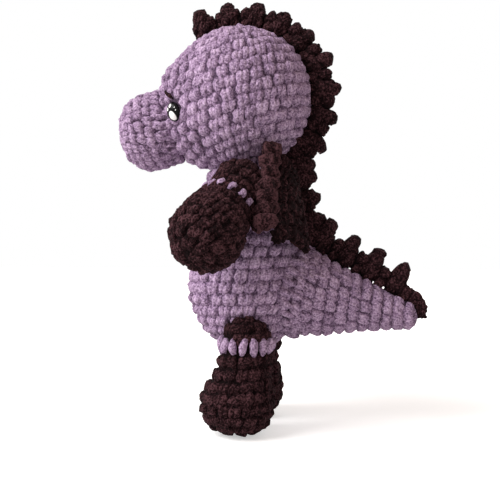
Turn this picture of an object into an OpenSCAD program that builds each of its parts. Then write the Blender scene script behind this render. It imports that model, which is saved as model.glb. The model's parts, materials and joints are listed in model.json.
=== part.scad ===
// Crocheted stuffed dinosaur with a round head, two stubby wings and a row of spikes down its back.
// Millimetres. It faces -Y, its left side is +X and its soles stand on Z = 0.
// Every stuffed piece is a crocheted cover, open where it is sewn on, round a separate stuffing.

/* [Fabric] */
// Thickness of the crocheted covers
wall = 6; // [4:0.5:8]
// Clearance between pieces that move against each other
seam_gap = 0.4; // [0.3:0.05:0.8]
// Clearance between pieces that are sewn or packed together
fill_gap = 0.3; // [0.2:0.05:0.5]

/* [Body] */
// Radius of the body at its widest round
belly_r = 47; // [42:0.5:52]
// Height of the upper body curve above the widest round
body_up = 116; // [104:1:128]
// Depth of the body below the widest round
body_low = 55; // [49:1:60]

/* [Head] */
// Radius of the head
head_r = 58.5; // [52:0.5:64]
// How far the head sits ahead of the body
head_forward = 5.6; // [2:0.2:9]
// Radius of the neck where the head is sewn on
neck_r = 27.5; // [25:0.5:30]
// Radius of the hole that the head was stuffed through
head_hole_r = 13; // [9:0.5:16]
// Radius of the yarn sewn round the neck
neck_yarn_r = 3; // [2:0.25:4]

/* [Snout] */
// Radius of the snout at its widest
snout_r = 31; // [27:0.5:34]
// How far the snout stands out of the head
snout_len = 41; // [34:0.5:46]
// How far the widest part of the snout is from the head
snout_swell = 9; // [5:0.5:12]
// How far the snout points below the horizon, in degrees
snout_pitch = 21; // [15:1:26]

/* [Eyes] */
// Radius of an eye
eye_r = 7.5; // [6:0.1:8.2]
// Height of an eye's dome
eye_dome = 6; // [4:0.25:7]
// How far each eye is turned from straight ahead, in degrees
eye_turn = 39; // [37:0.5:46]
// How far the eyes are below the middle of the head, in degrees
eye_drop = 13.5; // [8:0.5:15]
// Radius of an eye's post
post_r = 2.5; // [2:0.1:3]
// Clearance round the post
post_gap = 0.1; // [0.05:0.05:0.3]
// Length of an eye's post behind its dome
post_len = 17; // [14:0.5:20]
// Radius of the washer behind an eye
washer_r = 8; // [6:0.25:10]
// Thickness of the washer
washer_t = 2; // [1.5:0.25:3]
// Radius of the brow yarn
brow_r = 1.9; // [1.5:0.1:2.4]
// Length of a brow
brow_len = 15; // [11:0.5:17]
// How far a brow is above its eye, in degrees
brow_lift = 12; // [11:0.5:17]
// How far a brow slopes down towards the back, in degrees
brow_slope = 35; // [10:1:50]

/* [Arms] */
// Radius of the arm's sewn end
arm_root_r = 17; // [15:0.5:18]
// Radius of the arm at its waist
arm_waist_r = 14.5; // [13:0.5:15.5]
// Radius of the paw
paw_r = 27.5; // [24:0.5:29]
// Distance of the paw's middle from the sewn end's middle
arm_reach = 55; // [50:0.5:60]
// How far the arm points below the horizon, in degrees
arm_droop = 41; // [36:1:46]
// How far the arm points forward of straight out, in degrees
arm_forward = 26; // [22:1:34]
// Height of the neck above the middle of the arm's sewn end
shoulder_drop = 20; // [17:0.5:23]
// How far the arm's sewn end dents the body
shoulder_sink = 7; // [5:0.5:8]
// Distance of the arm's stripe from the sewn end's middle
arm_stripe_at = 21; // [17:0.5:25]

/* [Legs] */
// Height of the middle of the leg's sewn end above the sole
leg_len = 65; // [61:0.5:72]
// Radius of the leg's sewn end
leg_root_r = 22; // [19:0.5:24]
// Radius of the ankle
ankle_r = 20.5; // [18:0.5:22]
// Height of the ankle above the sole
ankle_z = 52; // [48:0.5:58]
// Radius of the foot seen from above
foot_r = 29.5; // [26:0.5:31]
// Height of the foot
foot_h = 53; // [46:0.5:58]
// How far the foot is ahead of the leg
foot_forward = 6.5; // [3:0.5:9]
// How squarely the top of the foot curves: 2 is an ellipse
foot_square = 3; // [2.5:0.1:3.4]
// How squarely the rim of the sole curves: 2 is an ellipse
sole_square = 4.5; // [4:0.1:5]
// Where round the underside the leg is sewn, in degrees below the widest round
hip_angle = 50; // [46:1:54]
// How far the leg's sewn end dents the body
hip_sink = 13; // [10:0.5:14]
// How far the legs are sewn behind the middle of the body
hip_back = 4; // [1:0.5:6]
// Distance of the leg's stripe above the sewn end's middle
leg_stripe_up = 4; // [0:0.5:6]

/* [Stripes] */
// Width of a lilac stripe
stripe_w = 9; // [6:0.5:10]
// Depth of a stripe in the cover
stripe_depth = 3; // [2:0.25:3.5]

/* [Tail] */
// Length of the tail's tip from the body's middle
tail_reach = 139; // [124:1:154]
// Radius of the tail where it leaves the body
tail_root_r = 36; // [32:0.5:39]
// Radius of the tail's rounded tip
tail_tip_r = 11.5; // [9:0.5:14]
// How far the tail points below the horizon, in degrees
tail_pitch = 12; // [9:1:14]
// Height of the tail's middle above the widest round of the body
tail_rise = 2; // [-1:0.5:5]
// Thickness of the yarn sewn round the tail
tail_yarn = 2.5; // [1.5:0.25:3]

/* [Wings] */
// Length of a wing from its sewn edge to its rolled edge
wing_chord = 57; // [51:1:60]
// Thickness of a wing
wing_t = 7; // [5:0.5:8]
// Length of the sewn edge
wing_root_len = 50; // [45:1:54]
// Height of the sewn edge's lower end above the widest round
wing_root_up = 31; // [28:1:34]
// Where the wing is sewn, in degrees round from the middle of the back
wing_turn = 24; // [22:1:28]
// How far the wing is folded forward of straight out, in degrees
wing_fold = 33; // [29:1:35]
// How far the rolled edge leans back at its top, as a share of the wing's length
wing_lean = 0.55; // [0.45:0.05:0.65]
// Height of the rolled edge's lower end above the sewn edge's lower end
wing_lead_low = 12; // [8:1:16]
// Height of the rolled edge's upper end above the sewn edge's lower end
wing_lead_high = 76; // [70:1:78]
// Radius of the rolled edge at its middle
wing_edge_r = 6.5; // [5:0.25:7.5]
// How far the wing bulges away from the body
wing_bulge = 9; // [7:0.5:11]
// Depth of the scallop in the lower edge
wing_scallop = 8; // [4:0.5:12]

/* [Spikes] */
// Width of the crest
crest_w = 13; // [10:0.5:15]
// Height of the crest above the fabric
crest_h = 9; // [7:0.5:11]
// Radius of a spike at its foot
spike_r = 8.5; // [7:0.25:9]
// Radius of a spike's rounded tip
spike_tip_r = 4.5; // [3:0.25:5]
// Height of a spike above the crest
spike_h = 12; // [9:0.5:15]
// How much taller the spikes on the tail are
tail_spike_more = 5; // [2:0.5:7]
// Angle of the crest's front end ahead of the crown, in degrees
crest_front = 42; // [34:1:46]
// Angle of the crest's end at the nape behind the crown, in degrees
crest_nape = 132; // [124:1:134]
// Spikes on the head
head_spikes_n = 9; // [7:1:9]
// Spikes on the back
back_spikes_n = 3; // [2:1:3]
// Spikes on the tail
tail_spikes_n = 4; // [3:1:4]

/* [Hidden] */
$fn = 64;

lilac = "#9a82a6";
plum = "#38242a";
fibre = "#f1ede4";
eye_black = "#0c0a0c";
washer_white = "#dcdad4";

// How deep the sole is cut flat, and how far a cutting shape runs past what it cuts
sole_cut = 0.5;
past = 200;

function sq(x) = x * x;
function unit(v) = v / norm(v);
// Runs from 0 to 1 with a level start and end
function ease(t) = (1 - cos(180 * t)) / 2;
// A quarter or half round of points, as [radius, height], for a curve of a given squareness
function round_point(a, r, h, n = 2) =
    [r * pow(abs(cos(a)), 2 / n), h * sign(sin(a)) * pow(abs(sin(a)), 2 / n)];

// The hips settle the height of the body: the legs are sewn square to its underside
hip_out = unit([body_low * cos(hip_angle), -belly_r * sin(hip_angle)]);
hip_proud = leg_root_r - hip_sink;
belly_z = leg_len + body_low * sin(hip_angle) - hip_out[1] * hip_proud;
hip = [belly_r * cos(hip_angle) + hip_out[0] * hip_proud, hip_back, leg_len];

function body_r_at(z) = belly_r * sqrt(1 - sq((z - belly_z) / (z > belly_z ? body_up : body_low)));

// The head sits on the neck, and the arms hang just below it
neck_z = belly_z + body_up * sqrt(1 - sq(neck_r / belly_r));
head = [0, -head_forward, neck_z + sqrt(sq(head_r) - sq(neck_r))];
neck_lean = atan2(head_forward, head[2] - neck_z);
shoulder_z = neck_z - shoulder_drop;
shoulder = [body_r_at(shoulder_z) + arm_root_r - shoulder_sink, 0, shoulder_z];
tail_mid = [0, 0, belly_z + tail_rise];

// Outlines, as [radius, distance along the piece's own axis], shrunk by a depth
function body_outline(d) = concat(
    [for (a = [-90 : 9 : -9]) round_point(a, belly_r - d, body_low - d)],
    [for (a = [0 : 6 : 90]) round_point(a, belly_r - d, body_up - d)]
);

// The snout's back half runs well into the head's curve, and its front is a little squarer than an ellipse
snout_mid = head_r + snout_swell;
snout_back = 0.75 * head_r;
snout_square = 2.5;
function snout_outline(d) = concat(
    [for (a = [-90 : 10 : -10]) [0, snout_mid] + round_point(a, snout_r - d, snout_back)],
    [for (a = [0 : 9 : 90])
        [0, snout_mid] + round_point(a, snout_r - d, snout_len - snout_swell - d, snout_square)]
);

// The sewn end is part of a ball, which turns in its dent, and the waist is where the arm leaves the ball
arm_waist_at = sqrt(sq(arm_root_r) - sq(arm_waist_r));
arm_waist_angle = asin(arm_waist_at / arm_root_r);
function arm_radius(t) = arm_waist_r + (paw_r - arm_waist_r) * ease(t);
function arm_outline(d) = concat(
    [for (i = [0 : 8]) round_point(-90 + (90 + arm_waist_angle) * i / 8, arm_root_r - d, arm_root_r - d)],
    [for (i = [1 : 10]) [arm_radius(i / 10) - d, arm_waist_at + (arm_reach - arm_waist_at) * i / 10]],
    [for (a = [15 : 15 : 90]) [0, arm_reach] + round_point(a, paw_r - d, paw_r - d)]
);

foot_mid = foot_h / 2;
function leg_outline(d) = concat(
    [[0, foot_mid], [ankle_r - d, foot_mid]],
    [for (i = [0 : 6])
        [ankle_r + (leg_root_r - ankle_r) * ease(i / 6) - d, ankle_z + (leg_len - ankle_z) * i / 6]],
    [for (a = [15 : 15 : 90]) [0, leg_len] + round_point(a, leg_root_r - d, leg_root_r - d)]
);
function foot_outline(d) = let (half = foot_mid + sole_cut - d) concat(
    [for (a = [-90 : 9 : -9]) [0, foot_mid] + round_point(a, foot_r - d, half, sole_square)],
    [for (a = [0 : 9 : 90]) [0, foot_mid] + round_point(a, foot_r - d, half, foot_square)]
);

tail_ball = tail_reach - tail_tip_r;
tail_start = belly_r / 3;
function tail_radius(s) =
    tail_root_r + (tail_tip_r - tail_root_r) * (s - belly_r) / (tail_ball - belly_r);
function tail_outline(d) = concat(
    [[0, tail_start], [tail_root_r - d, tail_start], [tail_root_r - d, belly_r]],
    [for (a = [0 : 15 : 90]) [0, tail_ball] + round_point(a, tail_tip_r - d, tail_tip_r - d)]
);

// The part is centred front to back between the snout and the tail
function farthest(outline, pitch) = max([for (p = outline) p[1] * cos(pitch) + p[0] * sin(pitch)]);
snout_front = farthest(snout_outline(0), snout_pitch) + head_forward;
tail_back = farthest(tail_outline(0), tail_pitch);
middle = [0, (snout_front - tail_back) / 2, 0];

module placed() {
    translate(middle) children();
}
module right_side() {
    mirror([1, 0, 0]) children();
}

// Solid forms shrunk by a depth: a cover is its form less the same form one wall smaller
module body_form(d) {
    translate([0, 0, belly_z]) rotate_extrude() polygon(body_outline(d));
}
module head_form(d) {
    translate(head) sphere(r = head_r - d, $fn = 180);
}
module snout_form(d) {
    translate(head) rotate([90 + snout_pitch, 0, 0]) rotate_extrude() polygon(snout_outline(d));
}
module along_arm() {
    translate(shoulder) rotate([0, 90 + arm_droop, -arm_forward]) children();
}
module arm_form(d) {
    along_arm() rotate_extrude() polygon(arm_outline(d));
}
module leg_form(d) {
    translate([hip[0], hip_back, 0]) rotate_extrude() polygon(leg_outline(d));
    translate([hip[0], hip_back - foot_forward, 0]) rotate_extrude() polygon(foot_outline(d));
}
module along_tail() {
    translate(tail_mid) rotate([-90 - tail_pitch, 0, 0]) children();
}
module tail_form(d) {
    along_tail() rotate_extrude() polygon(tail_outline(d));
}
// The dents that the sewn ends of the arms and legs press into the body
module limb_dents(d) {
    for (side = [-1, 1]) {
        translate([side * shoulder[0], shoulder[1], shoulder[2]]) sphere(r = arm_root_r + d);
        translate([side * hip[0], hip[1], hip[2]]) sphere(r = leg_root_r + d);
    }
}

module body_cover() {
    color(lilac) placed() difference() {
        body_form(0);
        limb_dents(seam_gap);
        difference() {
            body_form(wall);
            limb_dents(seam_gap + wall);
        }
        head_form(-seam_gap);
    }
}
module body_stuffing() {
    color(fibre) placed() difference() {
        body_form(wall + fill_gap);
        limb_dents(seam_gap + wall + fill_gap);
        head_form(-seam_gap - fill_gap);
    }
}
// The neck yarn is round about the line that the head turns on, so it turns clear of the body
neck_turn_gap = seam_gap + head_forward / 8;
module neck_seam() {
    color(lilac) placed() difference() {
        translate([0, 0, neck_z]) rotate([neck_lean, 0, 0]) rotate_extrude()
            translate([neck_r + neck_yarn_r / 2, 0]) circle(r = neck_yarn_r, $fn = 32);
        head_form(-seam_gap);
        body_form(-neck_turn_gap);
    }
}

// Head, snout and face
module towards_eye(lift) {
    translate(head) rotate([0, 0, eye_turn]) rotate([90 + eye_drop - lift, 0, 0]) children();
}
// Room for something round that stands out of the head at both eyes
module eye_room(r) {
    for (side = [0, 1]) mirror([side, 0, 0]) towards_eye(0) cylinder(r = r, h = past);
}
module head_cover() {
    color(lilac) placed() difference() {
        head_form(0);
        head_form(wall);
        translate(head) translate([0, 0, -past]) cylinder(r = head_hole_r, h = past);
        eye_room(post_r + post_gap);
    }
}
module head_stuffing() {
    color(fibre) placed() difference() {
        head_form(wall + fill_gap);
        for (side = [0, 1]) mirror([side, 0, 0]) towards_eye(0) {
            translate([0, 0, head_r - post_len - fill_gap]) cylinder(r = post_r + fill_gap, h = past);
            translate([0, 0, washer_seat - washer_t - fill_gap]) cylinder(r = washer_r + fill_gap, h = past);
        }
    }
}
module snout_cover() {
    color(lilac) placed() difference() {
        snout_form(0);
        snout_form(wall);
        head_form(-fill_gap);
        eye_room(eye_r + fill_gap);
    }
}
module snout_stuffing() {
    color(fibre) placed() difference() {
        snout_form(wall + fill_gap);
        head_form(-2 * fill_gap);
        eye_room(eye_r + 2 * fill_gap);
    }
}
// The collar of sewing yarn in the corner between the snout and the head
snout_yarn = 2;
module snout_seam() {
    color(lilac) placed() difference() {
        intersection() {
            snout_form(-snout_yarn - fill_gap);
            head_form(-snout_yarn - fill_gap);
        }
        snout_form(-fill_gap);
        head_form(-fill_gap);
        eye_room(eye_r + fill_gap);
    }
}
// A washer lies flat behind the cover, where its rim just clears the curve of the cover
washer_seat = sqrt(sq(head_r - wall) - sq(washer_r)) - fill_gap;
// The back of an eye is hollowed to the curve of the head
eye_sink = 2;
module eye() {
    color(eye_black) {
        difference() {
            towards_eye(0) translate([0, 0, head_r]) rotate_extrude() polygon(concat(
                [[0, -eye_sink], [eye_r, -eye_sink]],
                [for (a = [0 : 15 : 90]) round_point(a, eye_r, eye_dome)]
            ));
            head_form(-fill_gap);
        }
        towards_eye(0) translate([0, 0, head_r - post_len]) cylinder(r = post_r, h = post_len + eye_dome / 2);
    }
}
module eye_washer() {
    color(washer_white) towards_eye(0) translate([0, 0, washer_seat - washer_t]) difference() {
        cylinder(r = washer_r, h = washer_t);
        translate([0, 0, -past / 2]) cylinder(r = post_r + post_gap, h = past);
    }
}
module brow() {
    color(plum) difference() {
        towards_eye(brow_lift) translate([0, 0, head_r]) rotate([0, 90, -brow_slope]) {
            for (end = [-1, 1]) translate([0, 0, end * (brow_len / 2 - brow_r)]) sphere(r = brow_r, $fn = 32);
            cylinder(r = brow_r, h = brow_len - 2 * brow_r, center = true, $fn = 32);
        }
        head_form(-fill_gap);
        towards_eye(0) cylinder(r = eye_r + fill_gap, h = past);
    }
}

// A limb's cover is open at its sewn end and grooved for its stripe
module slab(at, w) {
    translate([0, 0, at - w / 2]) cylinder(r = past, h = w);
}
module arm_band(d, w) {
    difference() {
        intersection() {
            arm_form(0);
            along_arm() slab(arm_stripe_at, w);
        }
        arm_form(d);
    }
}
module arm_cover() {
    color(plum) difference() {
        arm_form(0);
        arm_form(wall);
        along_arm() translate([0, 0, -past]) cylinder(r = arm_root_r / 2, h = past);
        arm_band(stripe_depth, stripe_w);
    }
}
module arm_stripe() {
    color(lilac) arm_band(stripe_depth - fill_gap, stripe_w - 2 * fill_gap);
}
module arm_stuffing() {
    color(fibre) arm_form(wall + fill_gap);
}
module leg_band(d, w) {
    difference() {
        intersection() {
            leg_form(0);
            slab(leg_len + leg_stripe_up, w);
        }
        leg_form(d);
    }
}
module above_sole() {
    intersection() {
        children();
        slab(past / 2, past);
    }
}
module leg_cover() {
    color(plum) above_sole() difference() {
        leg_form(0);
        leg_form(wall);
        translate(hip) cylinder(r = leg_root_r / 2, h = past);
        leg_band(stripe_depth, stripe_w);
    }
}
module leg_stripe() {
    color(lilac) leg_band(stripe_depth - fill_gap, stripe_w - 2 * fill_gap);
}
module leg_stuffing() {
    color(fibre) leg_form(wall + fill_gap);
}

// Tail
module tail_cover() {
    color(lilac) placed() difference() {
        tail_form(0);
        tail_form(wall);
        body_form(-seam_gap);
    }
}
module tail_stuffing() {
    color(fibre) placed() difference() {
        tail_form(wall + fill_gap);
        body_form(-seam_gap - fill_gap);
    }
}
module tail_seam() {
    color(lilac) placed() difference() {
        intersection() {
            tail_form(-tail_yarn - fill_gap);
            body_form(-tail_yarn - seam_gap);
        }
        tail_form(-fill_gap);
        body_form(-seam_gap);
    }
}

// A wing has its own axes: out along its chord, up along its sewn edge, and proud of the body
function back_point(up, stand) = let (z = belly_z + up, r = body_r_at(z) + stand)
    [r * sin(wing_turn), r * cos(wing_turn), z];
wing_stand = wing_t / 2 + seam_gap + sq(wing_root_len) / (8 * body_up);
wing_foot = back_point(wing_root_up, wing_stand);
wing_up = unit(back_point(wing_root_up + wing_root_len, wing_stand) - wing_foot);
wing_ahead = [cos(wing_fold), -sin(wing_fold), 0];
wing_out = unit(wing_ahead - wing_up * (wing_ahead * wing_up));
wing_proud = cross(wing_up, wing_out);
// The lower edge runs from the sewn edge down to a point, then up in a scallop to the rolled edge
wing_point_at = 0.2;
wing_point_low = -11;
function wing_low(u) = u < wing_point_at
    ? wing_point_low * ease(u / wing_point_at)
    : let (t = (u - wing_point_at) / (1 - wing_point_at))
        wing_point_low * (1 - t) + wing_scallop * sin(180 * t);
// The rolled edge leans back as it rises, so the wing comes to a point beside the neck
wing_level_at = 0.75;
function wing_place(u, w, proud) = let (
    out = wing_chord * (1 - wing_lean * w) * u,
    root_up = wing_root_len * w,
    lead_up = wing_lead_low + (wing_lead_high - wing_lead_low) * w,
    up = root_up + (lead_up - root_up) * u + wing_low(u) * (1 - w),
    bulge = wing_bulge * sqrt(sin(180 * min(u, wing_level_at)))
) wing_foot + wing_out * out + wing_up * up + wing_proud * (proud + bulge);

// Rings of points joined into a solid: each end is closed by strips from one half of its ring to the other
module loft(rings) {
    n = len(rings[0]);
    m = len(rings);
    last = (m - 1) * n;
    polyhedron(
        points = [for (ring = rings) each ring],
        faces = concat(
            [for (i = [0 : m - 2], j = [0 : n - 1]) [i * n + (j + 1) % n, (i + 1) * n + j, i * n + j]],
            [for (i = [0 : m - 2], j = [0 : n - 1])
                [(i + 1) * n + (j + 1) % n, (i + 1) * n + j, i * n + (j + 1) % n]],
            [for (j = [0 : n / 2 - 2]) [n - 1 - j, j + 1, j]],
            [for (j = [0 : n / 2 - 2]) [n - 1 - j, n - 2 - j, j + 1]],
            [for (j = [0 : n / 2 - 2]) [last + j, last + j + 1, last + n - 1 - j]],
            [for (j = [0 : n / 2 - 2]) [last + j + 1, last + n - 2 - j, last + n - 1 - j]]
        )
    );
}
wing_steps = 16;
wing_rows = 6;
// The rolled edge swells in the middle, and the panel stops just short of it
edge_rings = 14;
edge_sides = 12;
edge_end_share = 0.45;
edge_clear = 4 * fill_gap;
function edge_r(w) = wing_edge_r * (edge_end_share + (1 - edge_end_share) * sqrt(sin(180 * w)));
function panel_end(w) = 1 - (edge_r(w) + edge_clear) / (wing_chord * (1 - wing_lean * w));
function panel_point(i, k, proud) = let (w = k / wing_rows)
    wing_place(panel_end(w) * i / wing_steps, w, proud);
module wing() {
    color(plum) loft([for (i = [0 : wing_steps]) concat(
        [for (k = [0 : wing_rows]) panel_point(i, k, -wing_t / 2)],
        [for (k = [wing_rows : -1 : 0]) panel_point(i, k, wing_t / 2)]
    )]);
}
module wing_edge() {
    color(plum) loft([for (i = [0 : edge_rings]) let (t = i / edge_rings, r = edge_r(t))
        [for (j = [0 : edge_sides - 1]) let (a = -360 * j / edge_sides)
            wing_place(1, t, 0) + wing_out * r * cos(a) + wing_proud * r * sin(a)]]);
}

// Spikes: a rounded cone that starts a little below the fabric it is cut by
spike_sink = 4;
module spike(h) {
    rotate_extrude($fn = 32) polygon(concat(
        [[0, -spike_sink], [spike_r, -spike_sink], [spike_r, 0], [spike_r * 0.9, h * 0.35]],
        [for (a = [15 : 25 : 90]) [0, h - spike_tip_r] + spike_tip_r * [cos(a), sin(a)]]
    ));
}
spike_full = crest_h + spike_h;
// Part of the way along a row of spikes, with half a space left at each end
function share(i, n) = (i + 0.5) / n;

module head_spikes() {
    turn = crest_front + crest_nape;
    color(plum) placed() difference() {
        translate(head) {
            rotate([crest_front, 0, 0]) rotate([0, -90, 0]) rotate_extrude(angle = turn, $fn = 128)
                translate([head_r - spike_sink, -crest_w / 2]) square([spike_sink + crest_h, crest_w]);
            for (i = [0 : head_spikes_n - 1])
                rotate([crest_front - turn * share(i, head_spikes_n), 0, 0])
                    translate([0, 0, head_r]) spike(spike_full);
        }
        head_form(-fill_gap);
    }
}
// The back crest runs from the neck to just above the tail's crest
back_top = asin((neck_z - neck_yarn_r - 2 * crest_h / 3 - belly_z) / body_up);
tail_half_z = tail_radius(belly_r / cos(tail_pitch)) / cos(tail_pitch);
tail_top_z = tail_mid[2] - belly_r * tan(tail_pitch) + tail_half_z;
back_end = asin((tail_top_z + crest_h + 4 * seam_gap - belly_z) / body_up);
function back_normal(a) = unit([body_up * cos(a), belly_r * sin(a)]);
function back_at(a, d) = [belly_r * cos(a), belly_z + body_up * sin(a)] + d * back_normal(a);
module back_spikes() {
    steps = 12;
    angles = [for (i = [0 : steps]) back_end + (back_top - back_end) * i / steps];
    color(plum) placed() difference() {
        union() {
            rotate([90, 0, 90]) translate([0, 0, -crest_w / 2]) linear_extrude(crest_w) polygon(concat(
                [for (a = angles) back_at(a, -spike_sink)],
                [for (i = [steps : -1 : 0]) back_at(angles[i], crest_h)]
            ));
            for (i = [0 : back_spikes_n - 1]) let (
                a = back_end + (back_top - back_end) * share(i, back_spikes_n),
                p = back_at(a, 0),
                n = back_normal(a)
            ) translate([0, p[0], p[1]]) rotate([-atan2(n[0], n[1]), 0, 0]) spike(spike_full);
        }
        body_form(-fill_gap);
    }
}
// The tail's crest is straight: up is away from the tail's axis and along is towards the tip
tail_slope = atan((tail_root_r - tail_tip_r) / (tail_ball - belly_r));
tail_run = (tail_ball - belly_r) / cos(tail_slope);
module tail_spikes() {
    color(plum) placed() difference() {
        along_tail() translate([0, -tail_root_r, belly_r]) rotate([90 - tail_slope, 0, 0]) {
            translate([-crest_w / 2, 0, -spike_sink]) cube([crest_w, tail_run, spike_sink + crest_h]);
            for (i = [0 : tail_spikes_n - 1])
                translate([0, tail_run * share(i, tail_spikes_n), 0]) spike(spike_full + tail_spike_more);
        }
        tail_form(-2 * fill_gap);
        body_form(-seam_gap - tail_yarn);
    }
}

body_cover();
body_stuffing();
back_spikes();
neck_seam();
head_cover();
head_stuffing();
head_spikes();
snout_cover();
snout_stuffing();
snout_seam();
placed() eye();  // left_eye
placed() right_side() eye();  // right_eye
placed() eye_washer();  // left_eye_washer
placed() right_side() eye_washer();  // right_eye_washer
placed() brow();  // left_brow
placed() right_side() brow();  // right_brow
placed() arm_cover();  // left_arm_cover
placed() arm_stripe();  // left_arm_stripe
placed() arm_stuffing();  // left_arm_stuffing
placed() right_side() arm_cover();  // right_arm_cover
placed() right_side() arm_stripe();  // right_arm_stripe
placed() right_side() arm_stuffing();  // right_arm_stuffing
placed() leg_cover();  // left_leg_cover
placed() leg_stripe();  // left_leg_stripe
placed() leg_stuffing();  // left_leg_stuffing
placed() right_side() leg_cover();  // right_leg_cover
placed() right_side() leg_stripe();  // right_leg_stripe
placed() right_side() leg_stuffing();  // right_leg_stuffing
tail_cover();
tail_stuffing();
tail_seam();
tail_spikes();
placed() wing();  // left_wing
placed() wing_edge();  // left_wing_edge
placed() right_side() wing();  // right_wing
placed() right_side() wing_edge();  // right_wing_edge
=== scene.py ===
"""Looks of a crocheted stuffed dinosaur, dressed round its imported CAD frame. Lengths are in metres."""

import json
import math

import bpy
import numpy as np
from bpy.props import FloatProperty, FloatVectorProperty, IntProperty, PointerProperty
from mathutils import Matrix, Vector, noise


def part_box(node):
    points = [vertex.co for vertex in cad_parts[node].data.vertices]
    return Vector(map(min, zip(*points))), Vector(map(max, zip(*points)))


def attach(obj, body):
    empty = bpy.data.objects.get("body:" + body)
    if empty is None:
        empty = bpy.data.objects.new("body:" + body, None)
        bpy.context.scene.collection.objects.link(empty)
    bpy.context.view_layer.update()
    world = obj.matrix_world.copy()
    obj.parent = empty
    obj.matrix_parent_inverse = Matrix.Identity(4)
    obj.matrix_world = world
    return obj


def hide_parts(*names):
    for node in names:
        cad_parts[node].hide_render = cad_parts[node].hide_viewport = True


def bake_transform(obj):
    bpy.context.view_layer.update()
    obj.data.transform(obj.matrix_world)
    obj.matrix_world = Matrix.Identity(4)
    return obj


bl_info = {
    "name": "Crocheted dinosaur",
    "version": (1, 0, 0),
    "blender": (4, 5, 0),
    "location": "View3D > Sidebar > Dinosaur",
    "description": "Crochets a stuffed dinosaur round its CAD frame",
    "category": "Object",
}

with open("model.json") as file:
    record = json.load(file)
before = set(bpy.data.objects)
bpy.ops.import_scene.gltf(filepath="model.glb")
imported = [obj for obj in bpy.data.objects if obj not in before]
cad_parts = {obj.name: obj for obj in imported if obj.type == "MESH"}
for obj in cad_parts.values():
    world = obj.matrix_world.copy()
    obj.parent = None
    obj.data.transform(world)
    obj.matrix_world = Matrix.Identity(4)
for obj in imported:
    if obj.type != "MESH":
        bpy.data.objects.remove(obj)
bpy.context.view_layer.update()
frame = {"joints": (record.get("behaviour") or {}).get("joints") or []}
MM = 0.001
SIDES = {"left": 1.0, "right": -1.0}
SIDEWAYS = np.array((1.0, 0.0, 0.0))
UP = np.array((0.0, 0.0, 1.0))


def unit(vector):
    """The same direction, or rows of directions, one long."""
    vector = np.asarray(vector, float)
    return vector / np.linalg.norm(vector, axis=-1, keepdims=True)


# Places and main sizes that the frame gives
def joint(name):
    """Where a joint sits, and the direction that it turns about."""
    row = next(row for row in frame["joints"] if row["name"] == name)
    return np.array(row["pos_m"]), np.array(row["axis"])


def half_width(node):
    """Half a node's size from side to side."""
    low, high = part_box(node)
    return (high.x - low.x) / 2


HEAD_MID = joint("head_nod")[0]
SHOULDER = joint("left_arm_swing")[0]
HIP = joint("left_leg_swing")[0]
TAIL_MID = joint("tail_wag")[0]
WING_FOOT, WING_UP = joint("left_wing_open")
HEAD_R = half_width("head_cover")
BELLY_R = half_width("body_cover")
BODY_LOW = 55 * MM
BODY_UP = 116 * MM
BELLY_MID = np.array((0.0, TAIL_MID[1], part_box("body_cover")[0].z + BODY_LOW))
NECK_UP = unit(HEAD_MID - BELLY_MID)

# Sizes of the other forms: the CAD's, or fuller where the stuffing swells
HEAD_TILT = math.radians(17)
SNOUT_R = 32 * MM
SNOUT_FRONT = 27.5 * MM
SNOUT_BACK = 35 * MM
SNOUT_MID = HEAD_R + 16 * MM
SNOUT_SQUARE = 2.3
SNOUT_PITCH = math.radians(19)
SNOUT_LEVEL = math.radians(9)
SNOUT_TUCK = 5 * MM
CHEEK_SWELL = 6.5 * MM
CHEEK_NEAR = math.radians(27)
CHEEK_FAR = math.radians(62)
EYE_DIMPLE = 0.7
EYE_DIMPLE_R = 10 * MM
EYE_LIFT = 1.8 * MM
EYE_R = 7.5 * MM
EYE_DOME = 4.6 * MM
EYE_SQUARE = 2.2
EYE_SINK = 2 * MM
EYE_TURN = math.radians(39)
EYE_DROP = math.radians(13.5)
BROW_WIDTH = 5.6 * MM
BROW_LEN = 13 * MM
BROW_PROUD = 1.5 * MM
BROW_LIFT = math.radians(12)
BROW_SLOPE = math.radians(35)
ARM_ROOT_R = 21 * MM
ARM_WAIST_R = 20.3 * MM
ARM_WAIST_AT = math.sqrt(ARM_ROOT_R ** 2 - ARM_WAIST_R ** 2)
PAW_R = 27.5 * MM
ARM_REACH = 55 * MM
ARM_DROOP = math.radians(41)
ARM_FORWARD = math.radians(26)
ARM_STRIPE_AT = 21 * MM
LEG_LEN = HIP[2]
LEG_ROOT_R = 22 * MM
LEG_TOP_H = 28 * MM
HIP_ROOM = 2 * MM
ANKLE_R = 20.5 * MM
ANKLE_Z = 52 * MM
ANKLE_SOFT = 20 * MM
FOOT_R = 29.5 * MM
FOOT_H = 53 * MM
FOOT_FORWARD = 6.5 * MM
FOOT_SQUARE = 2.0
SOLE_SQUARE = 2.8
SOLE_CUT = 0.5 * MM
LEG_STRIPE_UP = 4 * MM
TAIL_REACH = 139 * MM
TAIL_ROOT_R = 36 * MM
TAIL_TIP_R = 11.5 * MM
TAIL_INSIDE = BELLY_R / 3
TAIL_PITCH = math.radians(12)
TAIL_TUCK = 4 * MM
TAIL_AHEAD = np.array((0.0, math.cos(TAIL_PITCH), -math.sin(TAIL_PITCH)))
TAIL_TOP = np.array((0.0, math.sin(TAIL_PITCH), math.cos(TAIL_PITCH)))
NECK_R = 27.5 * MM
NECK_CORE_R = 2 * MM

# How the forms are drawn
PROFILE_STEP = 0.5 * MM
ARM_STEPS = 24
LEG_STEPS = 12
MEETING_STEPS = 400
MOSTLY_SIDEWAYS = 0.8
LINING_PITCH = 3.5 * MM
LINING_DEPTH = 2.7 * MM
THIN_LINING_DEPTH = 2.4 * MM
TUBE_SIDES = 10
LUMP_WIDTH = 34 * MM
LUMP_HEIGHT = 0.9 * MM


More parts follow.
